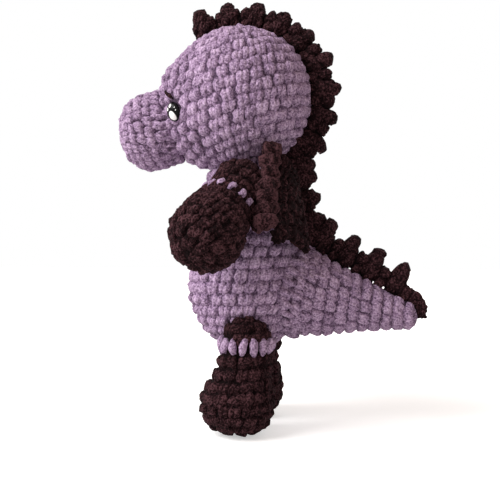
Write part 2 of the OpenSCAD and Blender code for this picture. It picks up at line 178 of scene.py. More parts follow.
def linear(code):
    """Turns an sRGB hex colour into the linear colour that Blender works in."""
    channels = [int(code[i:i + 2], 16) / 255 for i in (1, 3, 5)]
    return [c / 12.92 if c <= 0.04045 else ((c + 0.055) / 1.055) ** 2.4 for c in channels]


def colour_property(name, description, code):
    """A colour that a user can change, from its sRGB hex value."""
    return FloatVectorProperty(
        name=name, description=description, subtype="COLOR", size=3, min=0, max=1, default=linear(code)
    )


def length_property(name, description, default, low=3 * MM, high=20 * MM):
    """A length that a user can change."""
    return FloatProperty(
        name=name, description=description, default=default, min=low, max=high, unit="LENGTH"
    )


class YarnSettings(bpy.types.PropertyGroup):
    """Sizes of the crochet work."""

    stitch_width: length_property("Stitch width", "Distance between two stitches of a round", 10.6 * MM)
    round_height: length_property("Round height", "Distance between two rounds", 9.2 * MM)
    mane_width: length_property("Mane stitch width", "Distance between two stitches of the mane", 8.6 * MM)
    edge_width: length_property(
        "Wing edge loop width", "Width of a loop of the wing's rolled edge", 10.5 * MM
    )
    fluff: length_property("Fluff", "How far the pile stands out unevenly", 1.4 * MM, 0, 3 * MM)
    uneven: FloatProperty(
        name="Uneven", description="How much the stitches differ in size",
        default=0.13, min=0, max=0.5, subtype="FACTOR",
    )
    twist: FloatProperty(
        name="Twist", description="How far a stitch may be turned from its round",
        default=math.radians(12), min=0, max=math.radians(45), subtype="ANGLE",
    )
    seed: IntProperty(name="Seed", description="Draws another set of uneven stitches", default=7, min=0)


class ColourSettings(bpy.types.PropertyGroup):
    """Colours of the yarns, the plastics and the room."""

    # The deep colours are painted shade between and under the stitches, the tip colours are a painted
    # highlight on the stitches' crowns, and the plain colours are the yarns' own
    lilac_deep: colour_property("Lilac, deep", "Lilac pile between the stitches", "#513f55")
    lilac: colour_property("Lilac", "Lilac pile on a stitch's sides", "#9f84a5")
    lilac_tip: colour_property("Lilac, tips", "Lilac pile on a stitch's crown", "#d9bedd")
    plum_deep: colour_property("Plum, deep", "Plum pile between the stitches", "#080304")
    plum: colour_property("Plum", "Plum pile on a stitch's sides", "#1d0c0f")
    plum_tip: colour_property("Plum, tips", "Plum pile on a stitch's crown", "#56383d")
    eye: colour_property("Eye", "Black plastic of the eyes", "#0b090b")
    # The eye lights are painted highlights: reflections painted white on the eyes
    eye_highlight: colour_property("Eye lights", "White ovals painted on the eyes", "#f2f0f0")
    washer: colour_property("Washer", "Plastic of the eyes' washers", "#d8d5cc")
    ambient: colour_property("Ambient", "Light of the room away from the lamps", "#ffeadc")
    floor: colour_property("Floor", "Floor under the toy", "#ededed")


# Small helpers
def ease(t):
    """A smooth step from 0 to 1."""
    return (1 - np.cos(np.pi * np.clip(t, 0, 1))) / 2


def between(low, high, share):
    """A share of the way from one value to another."""
    return low + (high - low) * share


def mirrored(vector, side):
    """A left side's place or direction on the given side."""
    return np.asarray(vector, float) * (side, 1, 1)


def turns(count):
    """Even angles round a circle."""
    return 2 * math.pi * np.arange(count) / count


def round_about(angle, first, second):
    """Directions at angles from a first axis towards a second."""
    return np.cos(angle)[..., None] * first + np.sin(angle)[..., None] * second


def path_length(points):
    """Length of a path through points."""
    return np.linalg.norm(np.diff(points, axis=0), axis=-1).sum()


def quarter(radius, height, square=2.0, steps=40):
    """A quarter of a rounded outline as (distance from the pole, radius), from its pole to its widest."""
    turn = np.linspace(0, math.pi / 2, steps)
    power = 2 / square
    down = height * (1 - np.abs(np.cos(turn)) ** power)
    return list(zip(down, radius * np.abs(np.sin(turn)) ** power))


def closing(outline, total):
    """An outline from a pole turned round, so that it closes a form of the given total length."""
    return [(total - along, radius) for along, radius in reversed(outline)]


def egg(radius, near, far, square=2.0):
    """The outline of an egg, from its near pole over its widest round to its far pole."""
    return quarter(radius, near, square) + closing(quarter(radius, far), near + far)[1:]


def travelled(along, radius):
    """The distance over an outline from its start to each of its points."""
    return np.concatenate(([0.0], np.cumsum(np.hypot(np.diff(along), np.diff(radius)))))


def softened(outline, reach):
    """An outline whose corners are rounded over a reach."""
    along, radius = np.array(outline, float).T
    travel = travelled(along, radius)
    steps = np.arange(0, travel[-1], PROFILE_STEP)
    half = int(reach / PROFILE_STEP / 2)
    window = np.ones(2 * half + 1) / (2 * half + 1)
    rows = []
    for values in (along, radius):
        line = np.interp(steps, travel, values)
        before = 2 * line[0] - line[half:0:-1]
        after = 2 * line[-1] - line[-2:-half - 2:-1]
        rows.append(np.convolve(np.concatenate((before, line, after)), window, "valid"))
    return list(zip(*rows))


def lumps(points):
    """How far the stuffing pushes the cover out at each point."""
    return np.array([LUMP_HEIGHT * noise.noise(Vector(point) / LUMP_WIDTH) for point in points])


class Form:
    """A stuffed form: an outline turned about an axis. Travel runs over its surface from the first stitch."""

    def __init__(self, start, axis, outline, shift=None, swell=None):
        self.start = np.asarray(start, float)
        self.axis = unit(axis)
        guide = SIDEWAYS if abs(self.axis[0]) < MOSTLY_SIDEWAYS else UP
        self.side = unit(guide - self.axis * np.dot(guide, self.axis))
        self.across = np.cross(self.axis, self.side)
        along, radius = np.array(outline, float).T
        travel = travelled(along, radius)
        self.length = travel[-1]
        self.travel = np.linspace(0, self.length, int(self.length / PROFILE_STEP) + 2)
        self.along = np.interp(self.travel, travel, along)
        self.radius = np.interp(self.travel, travel, radius)
        self.rise = np.gradient(self.along, self.travel)
        self.spread = np.gradient(self.radius, self.travel)
        self.shift = shift
        self.swell = swell

    def radius_at(self, travel):
        """Radius of the form at a distance over its surface."""
        return np.interp(travel, self.travel, self.radius)

    def at(self, travel, angle, depth=0.0):
        """Points that lie so deep under the surface, with the outward and onward directions there."""
        travel = np.asarray(travel, float)
        rows = (self.along, self.radius, self.rise, self.spread)
        along, radius, rise, spread = [np.interp(travel, self.travel, row)[..., None] for row in rows]
        size = np.hypot(rise, spread)
        radial = round_about(angle, self.side, self.across)
        out = (radial * rise - self.axis * spread) / size
        onward = (radial * spread + self.axis * rise) / size
        point = self.start + self.axis * along + radial * radius
        if self.shift is not None:
            point = point + self.shift(along)
        if self.swell is not None:
            depth = depth - self.swell(point)[..., None]
        return point - out * depth, out, onward


# The forms themselves
def ahead_below(pitch):
    """The direction straight ahead, turned down by a pitch."""
    return np.array((0.0, -math.cos(pitch), -math.sin(pitch)))


SNOUT_CENTRE = HEAD_MID + SNOUT_MID * ahead_below(SNOUT_PITCH)
SNOUT_AHEAD = ahead_below(SNOUT_LEVEL)


def eye_out(side, lift=0.0):
    """The direction from the middle of the head through an eye, or through a place above it."""
    level = ahead_below(EYE_DROP - lift)
    return mirrored((-level[1] * math.sin(EYE_TURN), level[1] * math.cos(EYE_TURN), level[2]), side)


def cheek_swell(points):
    """How far the head stands out towards the snout, less in a dimple round each eye."""
    way = unit(points - HEAD_MID)
    off = np.arccos(np.clip(way @ ahead_below(SNOUT_PITCH), -1, 1))
    swell = CHEEK_SWELL * ease((CHEEK_FAR - off) / (CHEEK_FAR - CHEEK_NEAR))
    for side in SIDES.values():
        away = HEAD_R * np.linalg.norm(way - eye_out(side), axis=-1)
        swell = swell * (1 - EYE_DIMPLE * np.exp(-(away / EYE_DIMPLE_R) ** 2))
    return swell


def head_form():
    """The head: a ball, crocheted from its crown, with the rounds tilted towards the face."""
    crown = np.array((0.0, -math.sin(HEAD_TILT), math.cos(HEAD_TILT)))
    return Form(HEAD_MID + crown * HEAD_R, -crown, egg(HEAD_R, HEAD_R, HEAD_R), swell=cheek_swell)


def snout_form():
    """The snout: a blunt bun crocheted from its nose."""
    outline = egg(SNOUT_R, SNOUT_FRONT, SNOUT_BACK, SNOUT_SQUARE)
    return Form(SNOUT_CENTRE + SNOUT_AHEAD * SNOUT_FRONT, -SNOUT_AHEAD, outline)


def body_form():
    """The body: an egg crocheted from its underside."""
    return Form(BELLY_MID - UP * BODY_LOW, UP, egg(BELLY_R, BODY_LOW, BODY_UP))


def tail_radius(reach):
    """Radius of the tail at a distance from the body's middle."""
    return np.interp(reach, (BELLY_R, TAIL_REACH - TAIL_TIP_R), (TAIL_ROOT_R, TAIL_TIP_R))


def tail_form():
    """The tail: a cone crocheted from its tip."""
    tip = quarter(TAIL_TIP_R, TAIL_TIP_R)
    cone = [(TAIL_REACH - reach, tail_radius(reach)) for reach in (BELLY_R, TAIL_INSIDE)]
    return Form(TAIL_MID + TAIL_AHEAD * TAIL_REACH, -TAIL_AHEAD, tip + cone)


def arm_form(side):
    """An arm: a ball paw that narrows to a waist and ends in the ball that is sewn on."""
    level = math.cos(ARM_DROOP)
    ahead = (level * math.cos(ARM_FORWARD), -level * math.sin(ARM_FORWARD), -math.sin(ARM_DROOP))
    ahead = mirrored(ahead, side)
    total = ARM_REACH + PAW_R
    steps = np.linspace(0, 1, ARM_STEPS)
    reach = between(ARM_REACH, ARM_WAIST_AT, steps)
    narrowing = [(total - d, between(PAW_R, ARM_WAIST_R, ease(t))) for d, t in zip(reach, steps)]
    bends = np.linspace(-math.asin(ARM_WAIST_AT / ARM_ROOT_R), math.pi / 2, ARM_STEPS)
    root = [(total + ARM_ROOT_R * math.sin(a), ARM_ROOT_R * math.cos(a)) for a in bends]
    outline = quarter(PAW_R, PAW_R) + narrowing[1:] + root[1:]
    return Form(mirrored(SHOULDER, side) + ahead * total, -ahead, outline)


def leg_form(side):
    """A leg: a boot foot with a flat sole, and a short column up to the hip's ball."""
    middle = FOOT_H / 2
    half = middle + SOLE_CUT
    sole = [(z - SOLE_CUT, r) for z, r in quarter(FOOT_R, half, SOLE_SQUARE) if z > SOLE_CUT]
    upper = [(middle + z, r) for z, r in closing(quarter(FOOT_R, half, FOOT_SQUARE), half)]
    instep = [(z, r) for z, r in upper if z < ANKLE_Z and r > ANKLE_R]
    column = [
        (z, between(ANKLE_R, LEG_ROOT_R, ease((z - ANKLE_Z) / (LEG_LEN - ANKLE_Z))))
        for z in np.linspace(ANKLE_Z, LEG_LEN, LEG_STEPS)
    ]
    top = [(LEG_LEN + z, r) for z, r in closing(quarter(LEG_ROOT_R, LEG_TOP_H), LEG_TOP_H)]
    outline = [(0, 0), (0, sole[0][1])] + sole + instep[1:] + column + top[1:]

    def foot_ahead(along):
        """The foot stands ahead of the hip, and the leg leans back to it above the ankle."""
        return ahead_below(0) * FOOT_FORWARD * (1 - ease((along - middle) / (LEG_LEN - middle)))

    hip = mirrored(HIP, side)
    return Form((hip[0], hip[1], 0), UP, softened(outline, ANKLE_SOFT), foot_ahead)


# What lies inside what, for stitches that a neighbour hides
def in_ball(points, middle, radius):
    """Which points lie inside a ball."""
    return np.linalg.norm(points - middle, axis=-1) < radius


def reach_and_off(points, middle, ahead):
    """How far points lie along an axis, and how far off it."""
    away = points - middle
    reach = away @ ahead
    return reach, np.linalg.norm(away - reach[..., None] * ahead, axis=-1)


def in_egg(points, middle, ahead, radius, front, back):
    """Which points lie inside an egg."""
    reach, off = reach_and_off(points, middle, ahead)
    return (off / radius) ** 2 + (reach / np.where(reach > 0, front, back)) ** 2 < 1


def in_body(points, depth):
    """Which points lie deeper than that inside the body."""
    return in_egg(points, BELLY_MID, UP, BELLY_R - depth, BODY_UP - depth, BODY_LOW - depth)


def in_snout(points, depth):
    """Which points lie deeper than that inside the snout."""
    sizes = (SNOUT_R - depth, SNOUT_FRONT - depth, SNOUT_BACK - depth)
    return in_egg(points, SNOUT_CENTRE, SNOUT_AHEAD, *sizes)


def in_cheeks(points, depth):
    """Which points lie deeper than that inside a ball as wide as the swollen cheeks."""
    return in_ball(points, HEAD_MID, HEAD_R + CHEEK_SWELL - depth)


def in_tail(points, depth):
    """Which points lie deeper than that inside the tail's tube."""
    reach, off = reach_and_off(points, TAIL_MID, TAIL_AHEAD)
    return (reach > 0) & (off < tail_radius(reach) - depth)


# Stitches
STITCH_CROWN = 0.38
STITCH_OVERLAP = 1.22
FIRST_ROUND = 6
FIRST_STITCH_AT = 0.45
LAST_ROUND_SPARE = 0.3
UNEVEN_STEP = 0.2
SPIRAL_SEED = 3


class Stitches:
    """Where single stitches go, how each one is turned and how big it is."""

    def __init__(self):
        self.rows = []

    def add(self, place, out, onward, width, height, keep=None):
        """Adds stitches, one for each place, apart from those that aren't kept."""
        out = unit(out)
        side = unit(np.cross(onward, out))
        onward = np.cross(out, side)
        size = np.stack(np.broadcast_arrays(width, height, width, place[:, 0])[:3], axis=-1)
        rows = np.concatenate((place, side, onward, out, size), axis=-1)
        self.rows.append(rows if keep is None else rows[keep])
        return self

    def mesh(self):
        """The stitches as loose points that carry a turn and a size."""
        rows = np.concatenate(self.rows)
        mesh = bpy.data.meshes.new("rounds")
        mesh.from_pydata(rows[:, :3].tolist(), [], [])
        quaternions = [Matrix(row[3:12].reshape(3, 3)).transposed().to_quaternion() for row in rows]
        turn = mesh.attributes.new("turn", "QUATERNION", "POINT")
        turn.data.foreach_set("value", np.array(quaternions, np.float32).ravel())
        size = mesh.attributes.new("size", "FLOAT_VECTOR", "POINT")
        size.data.foreach_set("vector", rows[:, 12:].astype(np.float32).ravel())
        return mesh


def spiral(form, width, height):
    """Travel and angle of each stitch of one long spiral from the pole, as a form is crocheted."""
    travel, angle = FIRST_STITCH_AT * height, 0.0
    chance = np.random.default_rng(SPIRAL_SEED)
    rows = []
    while travel < form.length - LAST_ROUND_SPARE * height:
        step = min(width / max(form.radius_at(travel), MM), 2 * math.pi / FIRST_ROUND)
        rows.append((travel, angle))
        angle += step * chance.uniform(1 - UNEVEN_STEP, 1 + UNEVEN_STEP)
        travel += height * step / (2 * math.pi)
    return np.array(rows).T


def lay_rounds(form, width, height, keep=None, flipped=False):
    """Stitches that cover a form. Keep tells which places show, from their points and travel."""
    travel, angle = spiral(form, width, height)
    place, out, onward = form.at(travel, angle, STITCH_CROWN * width)
    place = place + out * lumps(place)[:, None]
    shown = None if keep is None else keep(place, travel)
    room = 2 * math.pi * form.radius_at(travel) / FIRST_ROUND
    onward = -onward if flipped else onward
    return Stitches().add(place, out, onward, np.minimum(width, room), STITCH_OVERLAP * height, shown)


def shell(first, rings, last):
    """Points and faces of a closed shell: a first point, rings of points and a last point."""
    around = rings.shape[1]
    points = np.concatenate((np.reshape(first, (1, 3)), rings.reshape(-1, 3), np.reshape(last, (1, 3))))
    end = len(points) - 1
    faces = []
    for j in range(around):
        after = (j + 1) % around
        faces.append((0, 1 + after, 1 + j))
        for low in range(1, end - around, around):
            faces.append((low + j, low + after, low + around + after, low + around + j))
        faces.append((end - around + j, end - around + after, end))
    return points, faces


def lining(form, depth=LINING_DEPTH, ends=None, press=()):
    """The cover under the stitches. Ends gives the travel where it stops at each angle. Balls press it in."""
    # The lining carries no pile value, so it takes mostly the deep colour: painted shade in the gaps between
    # the stitches
    around = int(2 * math.pi * form.radius.max() / LINING_PITCH)
    rows = int(form.length / LINING_PITCH)
    angle = turns(around)
    stops = np.full(around, form.length - MM) if ends is None else ends(angle)
    travel = ((np.arange(rows) + 1.0) / rows)[:, None] * stops[None, :]
    point, out, _ = form.at(travel, np.broadcast_to(angle, travel.shape), depth)
    point, out = point.reshape(-1, 3), out.reshape(-1, 3)
    point = point + out * lumps(point)[:, None]
    for middle, radius in press:
        away = point - middle
        facing = np.sum(away * out, axis=-1)
        spare = facing ** 2 - np.sum(away ** 2, axis=-1) + radius ** 2
        inside = in_ball(point, middle, radius)
        point[inside] -= out[inside] * (facing + np.sqrt(np.maximum(spare, 0)))[inside][:, None]
    rings = point.reshape(rows, around, 3)
    return shell(form.at(np.zeros(1), np.zeros(1), depth)[0], rings, rings[-1].mean(axis=0))


def tube(middles, sides, outs):
    """A closed tube with an oval section, from half-axes along it."""
    angle = turns(TUBE_SIDES)[None, :, None]
    rings = middles[:, None] + sides[:, None] * np.cos(angle) + outs[:, None] * np.sin(angle)
    return shell(middles[0], rings, middles[-1])


def joined(name, shells):
    """Several shells as one plain mesh."""
    points, faces = [], []
    for shell_points, shell_faces in shells:
        start = sum(len(part) for part in points)
        points.append(shell_points)
        faces += [tuple(start + corner for corner in face) for face in shell_faces]
    mesh = bpy.data.meshes.new(name)
    if points:
        mesh.from_pydata(np.concatenate(points).tolist(), [], faces)
        mesh.shade_smooth()
    return mesh


# A strand of a stitch: rings as (place along it, radius, pile), and how it lies. The pile is painted light: a
# painted highlight on the crown, and painted shade underneath and towards the strand's ends
LOBE_SIDES = 6
LOBE_RINGS = (
    (0.06, 0.17, 0.4), (0.27, 0.29, 0.8), (0.5, 0.33, 1.0), (0.73, 0.31, 0.95), (0.93, 0.19, 0.5)
)
LOBE_APART = 0.13
LOBE_LENGTH = 1.04
LOBE_ARCH = 0.1
LOBE_FOOT_DROP = 0.08
LOBE_SINK = 0.02
STITCH_LEAN = 0.25
# Painted light on a strand: its sides, the painted highlight added on its crown and taken off underneath as
# painted shade, and its ends, which are painted in shade
SIDE_LIGHT = 0.65
CROWN_LIGHT = 0.35
END_LIGHT = 0.2
LIT_END_LIGHT = 0.6

# Strands of each kind of stitch as (side, spread, plumpness, paleness all round). Paleness all round is
# painted light: diamonds and bobbles are painted as light as a crown all round, and the rolled loops of the
# wing's edge half as light again, a painted highlight on that edge
STITCH_KINDS = {
    "stitch": ((1, 0.09), (-1, 0.09)),
    "loop": ((0, 0),),
    "diamond": ((0, 0, 1.6, 1.0),),
    "bobble": ((0, 0, 1.7, 1.0),),
    "rolled": ((0, 0, 1.7, 1.5),),
}


def lobe(mirror, spread, plump=1.0, pale=None):
    """Points, faces and pile of one plump strand of a stitch, one wide and one high. Its pile is painted
    light: a painted highlight on the crown, and painted shade underneath and at the ends.
    """

    def centre(t):
        across = mirror * (LOBE_APART + spread * t)
        onward = LOBE_LENGTH * (t - 0.5)
        raised = LOBE_ARCH * math.sin(math.pi * t) - LOBE_FOOT_DROP * (1 - t) ** 2 - LOBE_SINK
        return np.array((across + STITCH_LEAN * onward, onward, raised))

    rings, pile = [], [0.0]
    for t, radius, show in LOBE_RINGS:
        rings.append(centre(t) + plump * radius * round_about(turns(LOBE_SIDES), SIDEWAYS, UP))
        # Painted highlight on the crown and painted shade underneath, unless the strand is painted evenly
        # light all round
        pile += [show * (pale or SIDE_LIGHT + CROWN_LIGHT * math.sin(turn)) for turn in turns(LOBE_SIDES)]
    pile.append(LIT_END_LIGHT if pale else END_LIGHT)
    points, faces = shell(centre(0.0), np.array(rings), centre(1.0))
    # The rings go round the other way here, so each face is turned over
    return points, [face[:1] + face[:0:-1] for face in faces], pile


def stitch_object(kind):
    """A stitch to be repeated. Its pile is painted light: 1, a painted highlight, on the crown and 0, painted
    shade, underneath.
    """
    if kind in bpy.data.objects:
        return bpy.data.objects[kind]
    lobes = [lobe(*strand) for strand in STITCH_KINDS[kind]]
    mesh = joined(kind, [(points, faces) for points, faces, pile in lobes])
    pile = np.concatenate([pile for points, faces, pile in lobes])
    mesh.attributes.new("pile", "FLOAT", "POINT").data.foreach_set("value", pile.astype(np.float32))
    return linked(kind, mesh)


def linked(name, data):
    """A new object in the scene."""
    item = bpy.data.objects.new(name, data)
    bpy.context.scene.collection.objects.link(item)
    return item


# Node trees
def add_node(tree, kind, links=None, **settings):
    """Adds a node. Links gives its inputs a node's first output, a socket, a list of these or a value."""
    node = tree.nodes.new(kind)
    for setting, value in settings.items():
        setattr(node, setting, value)
    for key, value in (links or {}).items():
        socket = node.inputs[key]
        for item in value if isinstance(value, list) else [value]:
            if isinstance(item, bpy.types.Node):
                item = item.outputs[0]
            if isinstance(item, bpy.types.NodeSocket):
                tree.links.new(item, socket)
            else:
                socket.default_value = item
    return node


CROCHET_INPUTS = (
    ("Lining", "NodeSocketGeometry"),
    ("Rounds", "NodeSocketObject"),
    ("Stitch", "NodeSocketObject"),
    ("Yarn", "NodeSocketMaterial"),
    ("Uneven", "NodeSocketFloat"),
    ("Twist", "NodeSocketFloat"),
    ("Fluff", "NodeSocketFloat"),
    ("Seed", "NodeSocketInt"),
)
FLUFF_SIZE = 3.6 * MM


def crochet_tree():
    """The node tree that sets a stitch on each point of the rounds, over the lining."""
    tree = bpy.data.node_groups.get("Crochet")
    if tree:
        return tree
    tree = bpy.data.node_groups.new("Crochet", "GeometryNodeTree")
    for name, kind in CROCHET_INPUTS:
        tree.interface.new_socket(name=name, in_out="INPUT", socket_type=kind)
    tree.interface.new_socket(name="Cover", in_out="OUTPUT", socket_type="NodeSocketGeometry")
    given = add_node(tree, "NodeGroupInput").outputs
    uneven, most_twist, seed = given["Uneven"], given["Twist"], given["Seed"]
    size = add_node(tree, "GeometryNodeInputNamedAttribute", {"Name": "size"}, data_type="FLOAT_VECTOR")
    turn = add_node(tree, "GeometryNodeInputNamedAttribute", {"Name": "turn"}, data_type="QUATERNION")
    less = add_node(tree, "ShaderNodeMath", {0: 1.0, 1: uneven}, operation="SUBTRACT")
    more = add_node(tree, "ShaderNodeMath", {0: 1.0, 1: uneven}, operation="ADD")
    swell = add_node(
        tree, "FunctionNodeRandomValue", {0: less, 1: more, "Seed": seed}, data_type="FLOAT_VECTOR"
    )
    grown = add_node(tree, "ShaderNodeVectorMath", {0: size, 1: swell}, operation="MULTIPLY")
    least_twist = add_node(tree, "ShaderNodeMath", {0: most_twist, 1: -1.0}, operation="MULTIPLY")
    next_seed = add_node(tree, "ShaderNodeMath", {0: seed, 1: 1.0}, operation="ADD")
    twist = add_node(
        tree, "FunctionNodeRandomValue", {0: least_twist, 1: most_twist, "Seed": next_seed},
        data_type="FLOAT_VECTOR",
    )
    twisted = add_node(tree, "FunctionNodeEulerToRotation", {0: twist})
    turned = add_node(tree, "FunctionNodeRotateRotation", {0: turn, 1: twisted}, rotation_space="LOCAL")
    rounds = add_node(tree, "GeometryNodeObjectInfo", {"Object": given["Rounds"]}).outputs["Geometry"]
    stitch = add_node(tree, "GeometryNodeObjectInfo", {"Object": given["Stitch"]}).outputs["Geometry"]
    laying = {"Points": rounds, "Instance": stitch, "Rotation": turned, "Scale": grown}
    laid = add_node(tree, "GeometryNodeInstanceOnPoints", laying)
    shade = add_node(tree, "FunctionNodeRandomValue", {"Seed": seed}, data_type="FLOAT").outputs[1]
    toned = add_node(
        tree, "GeometryNodeStoreNamedAttribute", {"Geometry": laid, "Name": "tone", "Value": shade},
        data_type="FLOAT", domain="INSTANCE",
    )
    real = add_node(tree, "GeometryNodeRealizeInstances", {"Geometry": toned})
    place = add_node(tree, "GeometryNodeInputPosition")
    lump = add_node(tree, "ShaderNodeTexNoise", {"Vector": place, "Scale": 1 / FLUFF_SIZE, "Detail": 0.0})
    even = add_node(tree, "ShaderNodeMath", {0: lump, 1: 0.5}, operation="SUBTRACT")
    stand = add_node(tree, "ShaderNodeMath", {0: even, 1: given["Fluff"]}, operation="MULTIPLY")
    outward = add_node(tree, "GeometryNodeInputNormal")
    offset = add_node(tree, "ShaderNodeVectorMath", {0: outward, "Scale": stand}, operation="SCALE")
    fluffed = add_node(tree, "GeometryNodeSetPosition", {"Geometry": real, "Offset": offset})
    both = add_node(tree, "GeometryNodeJoinGeometry", {0: [fluffed, given["Lining"]]})
    whole = add_node(tree, "GeometryNodeRealizeInstances", {"Geometry": both})
    yarn = add_node(tree, "GeometryNodeSetMaterial", {"Geometry": whole, "Material": given["Yarn"]})
    add_node(tree, "NodeGroupOutput", {0: yarn})
    return tree


def crochet(name, shells, groups, slot):
    """A piece as one plain mesh: its lining, and the kind of stitch of each group on the group's places."""
    settings = bpy.context.scene.dinosaur_yarn
    tree = crochet_tree()
    piece = linked(name, joined("lining", shells))
    laid = []
    for stitches, kind in groups:
        laid.append(linked("rounds", stitches.mesh()))
        values = {
            "Rounds": laid[-1], "Stitch": stitch_object(kind), "Yarn": chenille(slot),
            "Fluff": 2 * settings.fluff, "Uneven": settings.uneven, "Twist": settings.twist,
            "Seed": settings.seed + len(name),
        }
        modifier = piece.modifiers.new("Crochet", "NODES")
        modifier.node_group = tree
        for item in tree.interface.items_tree:
            if item.in_out == "INPUT" and item.name in values:
                modifier[item.identifier] = values[item.name]
    bpy.context.view_layer.update()
    evaluated = piece.evaluated_get(bpy.context.evaluated_depsgraph_get())
    mesh = bpy.data.meshes.new_from_object(evaluated)
    mesh.name = name
    piece.modifiers.clear()
    piece.data = mesh
    for rounds in laid:
        bpy.data.objects.remove(rounds)
    return piece


def give(piece, body, nodes):
    """Lets a piece stand for its CAD nodes and move with their body."""
    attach(piece, body)
    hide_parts(*nodes)


def cover(name, body, form, under, slot, shown=None, share=1.0, flipped=False):
    """Crochets a stuffed piece over its lining, in stitches of a share of the common size."""
    yarn = bpy.context.scene.dinosaur_yarn
    stitches = lay_rounds(form, share * yarn.stitch_width, share * yarn.round_height, shown, flipped)
    piece = crochet(name, [under], [(stitches, "stitch")], slot)
    for vertex in piece.data.vertices:
        vertex.co.z = max(vertex.co.z, 0)
    give(piece, body, [f"{name}_cover", f"{name}_stuffing"])


def trim(name, body, node, stitches, kind, slot="lilac_yarn", under=()):
    """Makes sewing, a stripe or a brow, mostly of stitches alone."""
    give(crochet(name, under, [(stitches, kind)], slot), body, [node])


# Materials
FUZZ_SIZE = 1.5 * MM
TUFT_SIZE = 7 * MM
PILE_DEPTH = 2.4 * MM
FLOW_MARK = 4 * MM
FLOW_CONTRAST = (0.3, 0.7)
WASHER_ROUGHNESS = (0.35, 0.55)
SHEEN = {"lilac_yarn": 0.4, "plum_yarn": 0.2}
FUZZ_WEIGHT = 2.4
TUFT_WEIGHT = 0.5
TONE_WEIGHT = 0.2
PAINTED_LIGHT_WEIGHT = 0.5
DEEP_SHADE = 0.2
TIP_SHADE = 1.2


def shader_colour(colour):
    """A colour with the alpha that a shader's socket wants."""
    return (*colour, 1.0)


def new_material(name):
    """An empty material and its node tree."""
    material = bpy.data.materials.new(name)
    material.use_nodes = True
    material.node_tree.nodes.clear()
    return material, material.node_tree


def chenille(slot):
    """Chenille polyester: a short pile round a core, matt and soft, with a painted highlight on the crowns,
    painted shade between the stitches, and a faint sheen.
    """
    dye = slot.split("_")[0]
    name = f"{dye} chenille yarn"
    if name in bpy.data.materials:
        return bpy.data.materials[name]
    colours = bpy.context.scene.dinosaur_colours
    deep, middle, tip = [
        shader_colour(getattr(colours, part)) for part in (f"{dye}_deep", dye, f"{dye}_tip")
    ]
    material, tree = new_material(name)
    place = add_node(tree, "ShaderNodeTexCoord").outputs["Object"]
    # The pile's tufts are finer than this on the real yarn, and are drawn as coarse as the render shows
    fuzz = add_node(
        tree, "ShaderNodeTexNoise",
        {"Vector": place, "Scale": 1 / FUZZ_SIZE, "Detail": 2.0, "Roughness": 0.6},
    )
    tuft = add_node(tree, "ShaderNodeTexNoise", {"Vector": place, "Scale": 1 / TUFT_SIZE, "Detail": 1.0})
    pile = add_node(tree, "ShaderNodeAttribute", attribute_name="pile").outputs["Fac"]
    tone = add_node(tree, "ShaderNodeAttribute", attribute_name="tone").outputs["Fac"]
    # The fuzz speckle is partly the pile's uneven colour and partly painted glints of light on it; the pile
    # attribute adds a painted highlight on the crowns and painted shade between the stitches
    weights = ((fuzz, FUZZ_WEIGHT), (tuft, TUFT_WEIGHT), (tone, TONE_WEIGHT), (pile, PAINTED_LIGHT_WEIGHT))
    # Noise swings about a half, so half the fuzz is taken off first
    shade = -0.5 * FUZZ_WEIGHT
    for value, weight in weights:
        shade = add_node(tree, "ShaderNodeMath", {0: value, 1: weight, 2: shade}, operation="MULTIPLY_ADD")
    shown = add_node(tree, "ShaderNodeMapRange", {0: shade, 1: DEEP_SHADE, 2: TIP_SHADE})
    ramp = add_node(tree, "ShaderNodeValToRGB", {0: shown})
    # The deep colour is painted shade, the middle one the yarn's own colour and the tip a painted highlight
    ramp.color_ramp.elements[0].color = deep
    ramp.color_ramp.elements[1].color = tip
    ramp.color_ramp.elements.new(0.5).color = middle
    bump = add_node(tree, "ShaderNodeBump", {"Strength": 0.9, "Distance": PILE_DEPTH, "Height": fuzz})
    surface = add_node(tree, "ShaderNodeBsdfPrincipled", {
        "Base Color": ramp,
        "Roughness": 0.9,
        "Specular IOR Level": 0.08,
        "Sheen Weight": SHEEN[slot],
        "Sheen Roughness": 0.5,
        "Sheen Tint": tip,
        "Normal": bump,
    })
    add_node(tree, "ShaderNodeOutputMaterial", {"Surface": surface})
    return material


# Painted highlights on an eye, white ovals that stand for reflections of the room, as (forward, up, half
# width, half height), in eye radii, and where their paint ends
EYE_HIGHLIGHTS = (
    (0.33, -0.36, 0.43, 0.48),
    (0.21, 0.65, 0.18, 0.19),
    (-0.25, 0.36, 0.22, 0.17),
    (0.79, 0.41, 0.035, 0.06),
    (0.89, 0.12, 0.035, 0.05),
)
PAINT_EDGE = (1.06, 0.94)


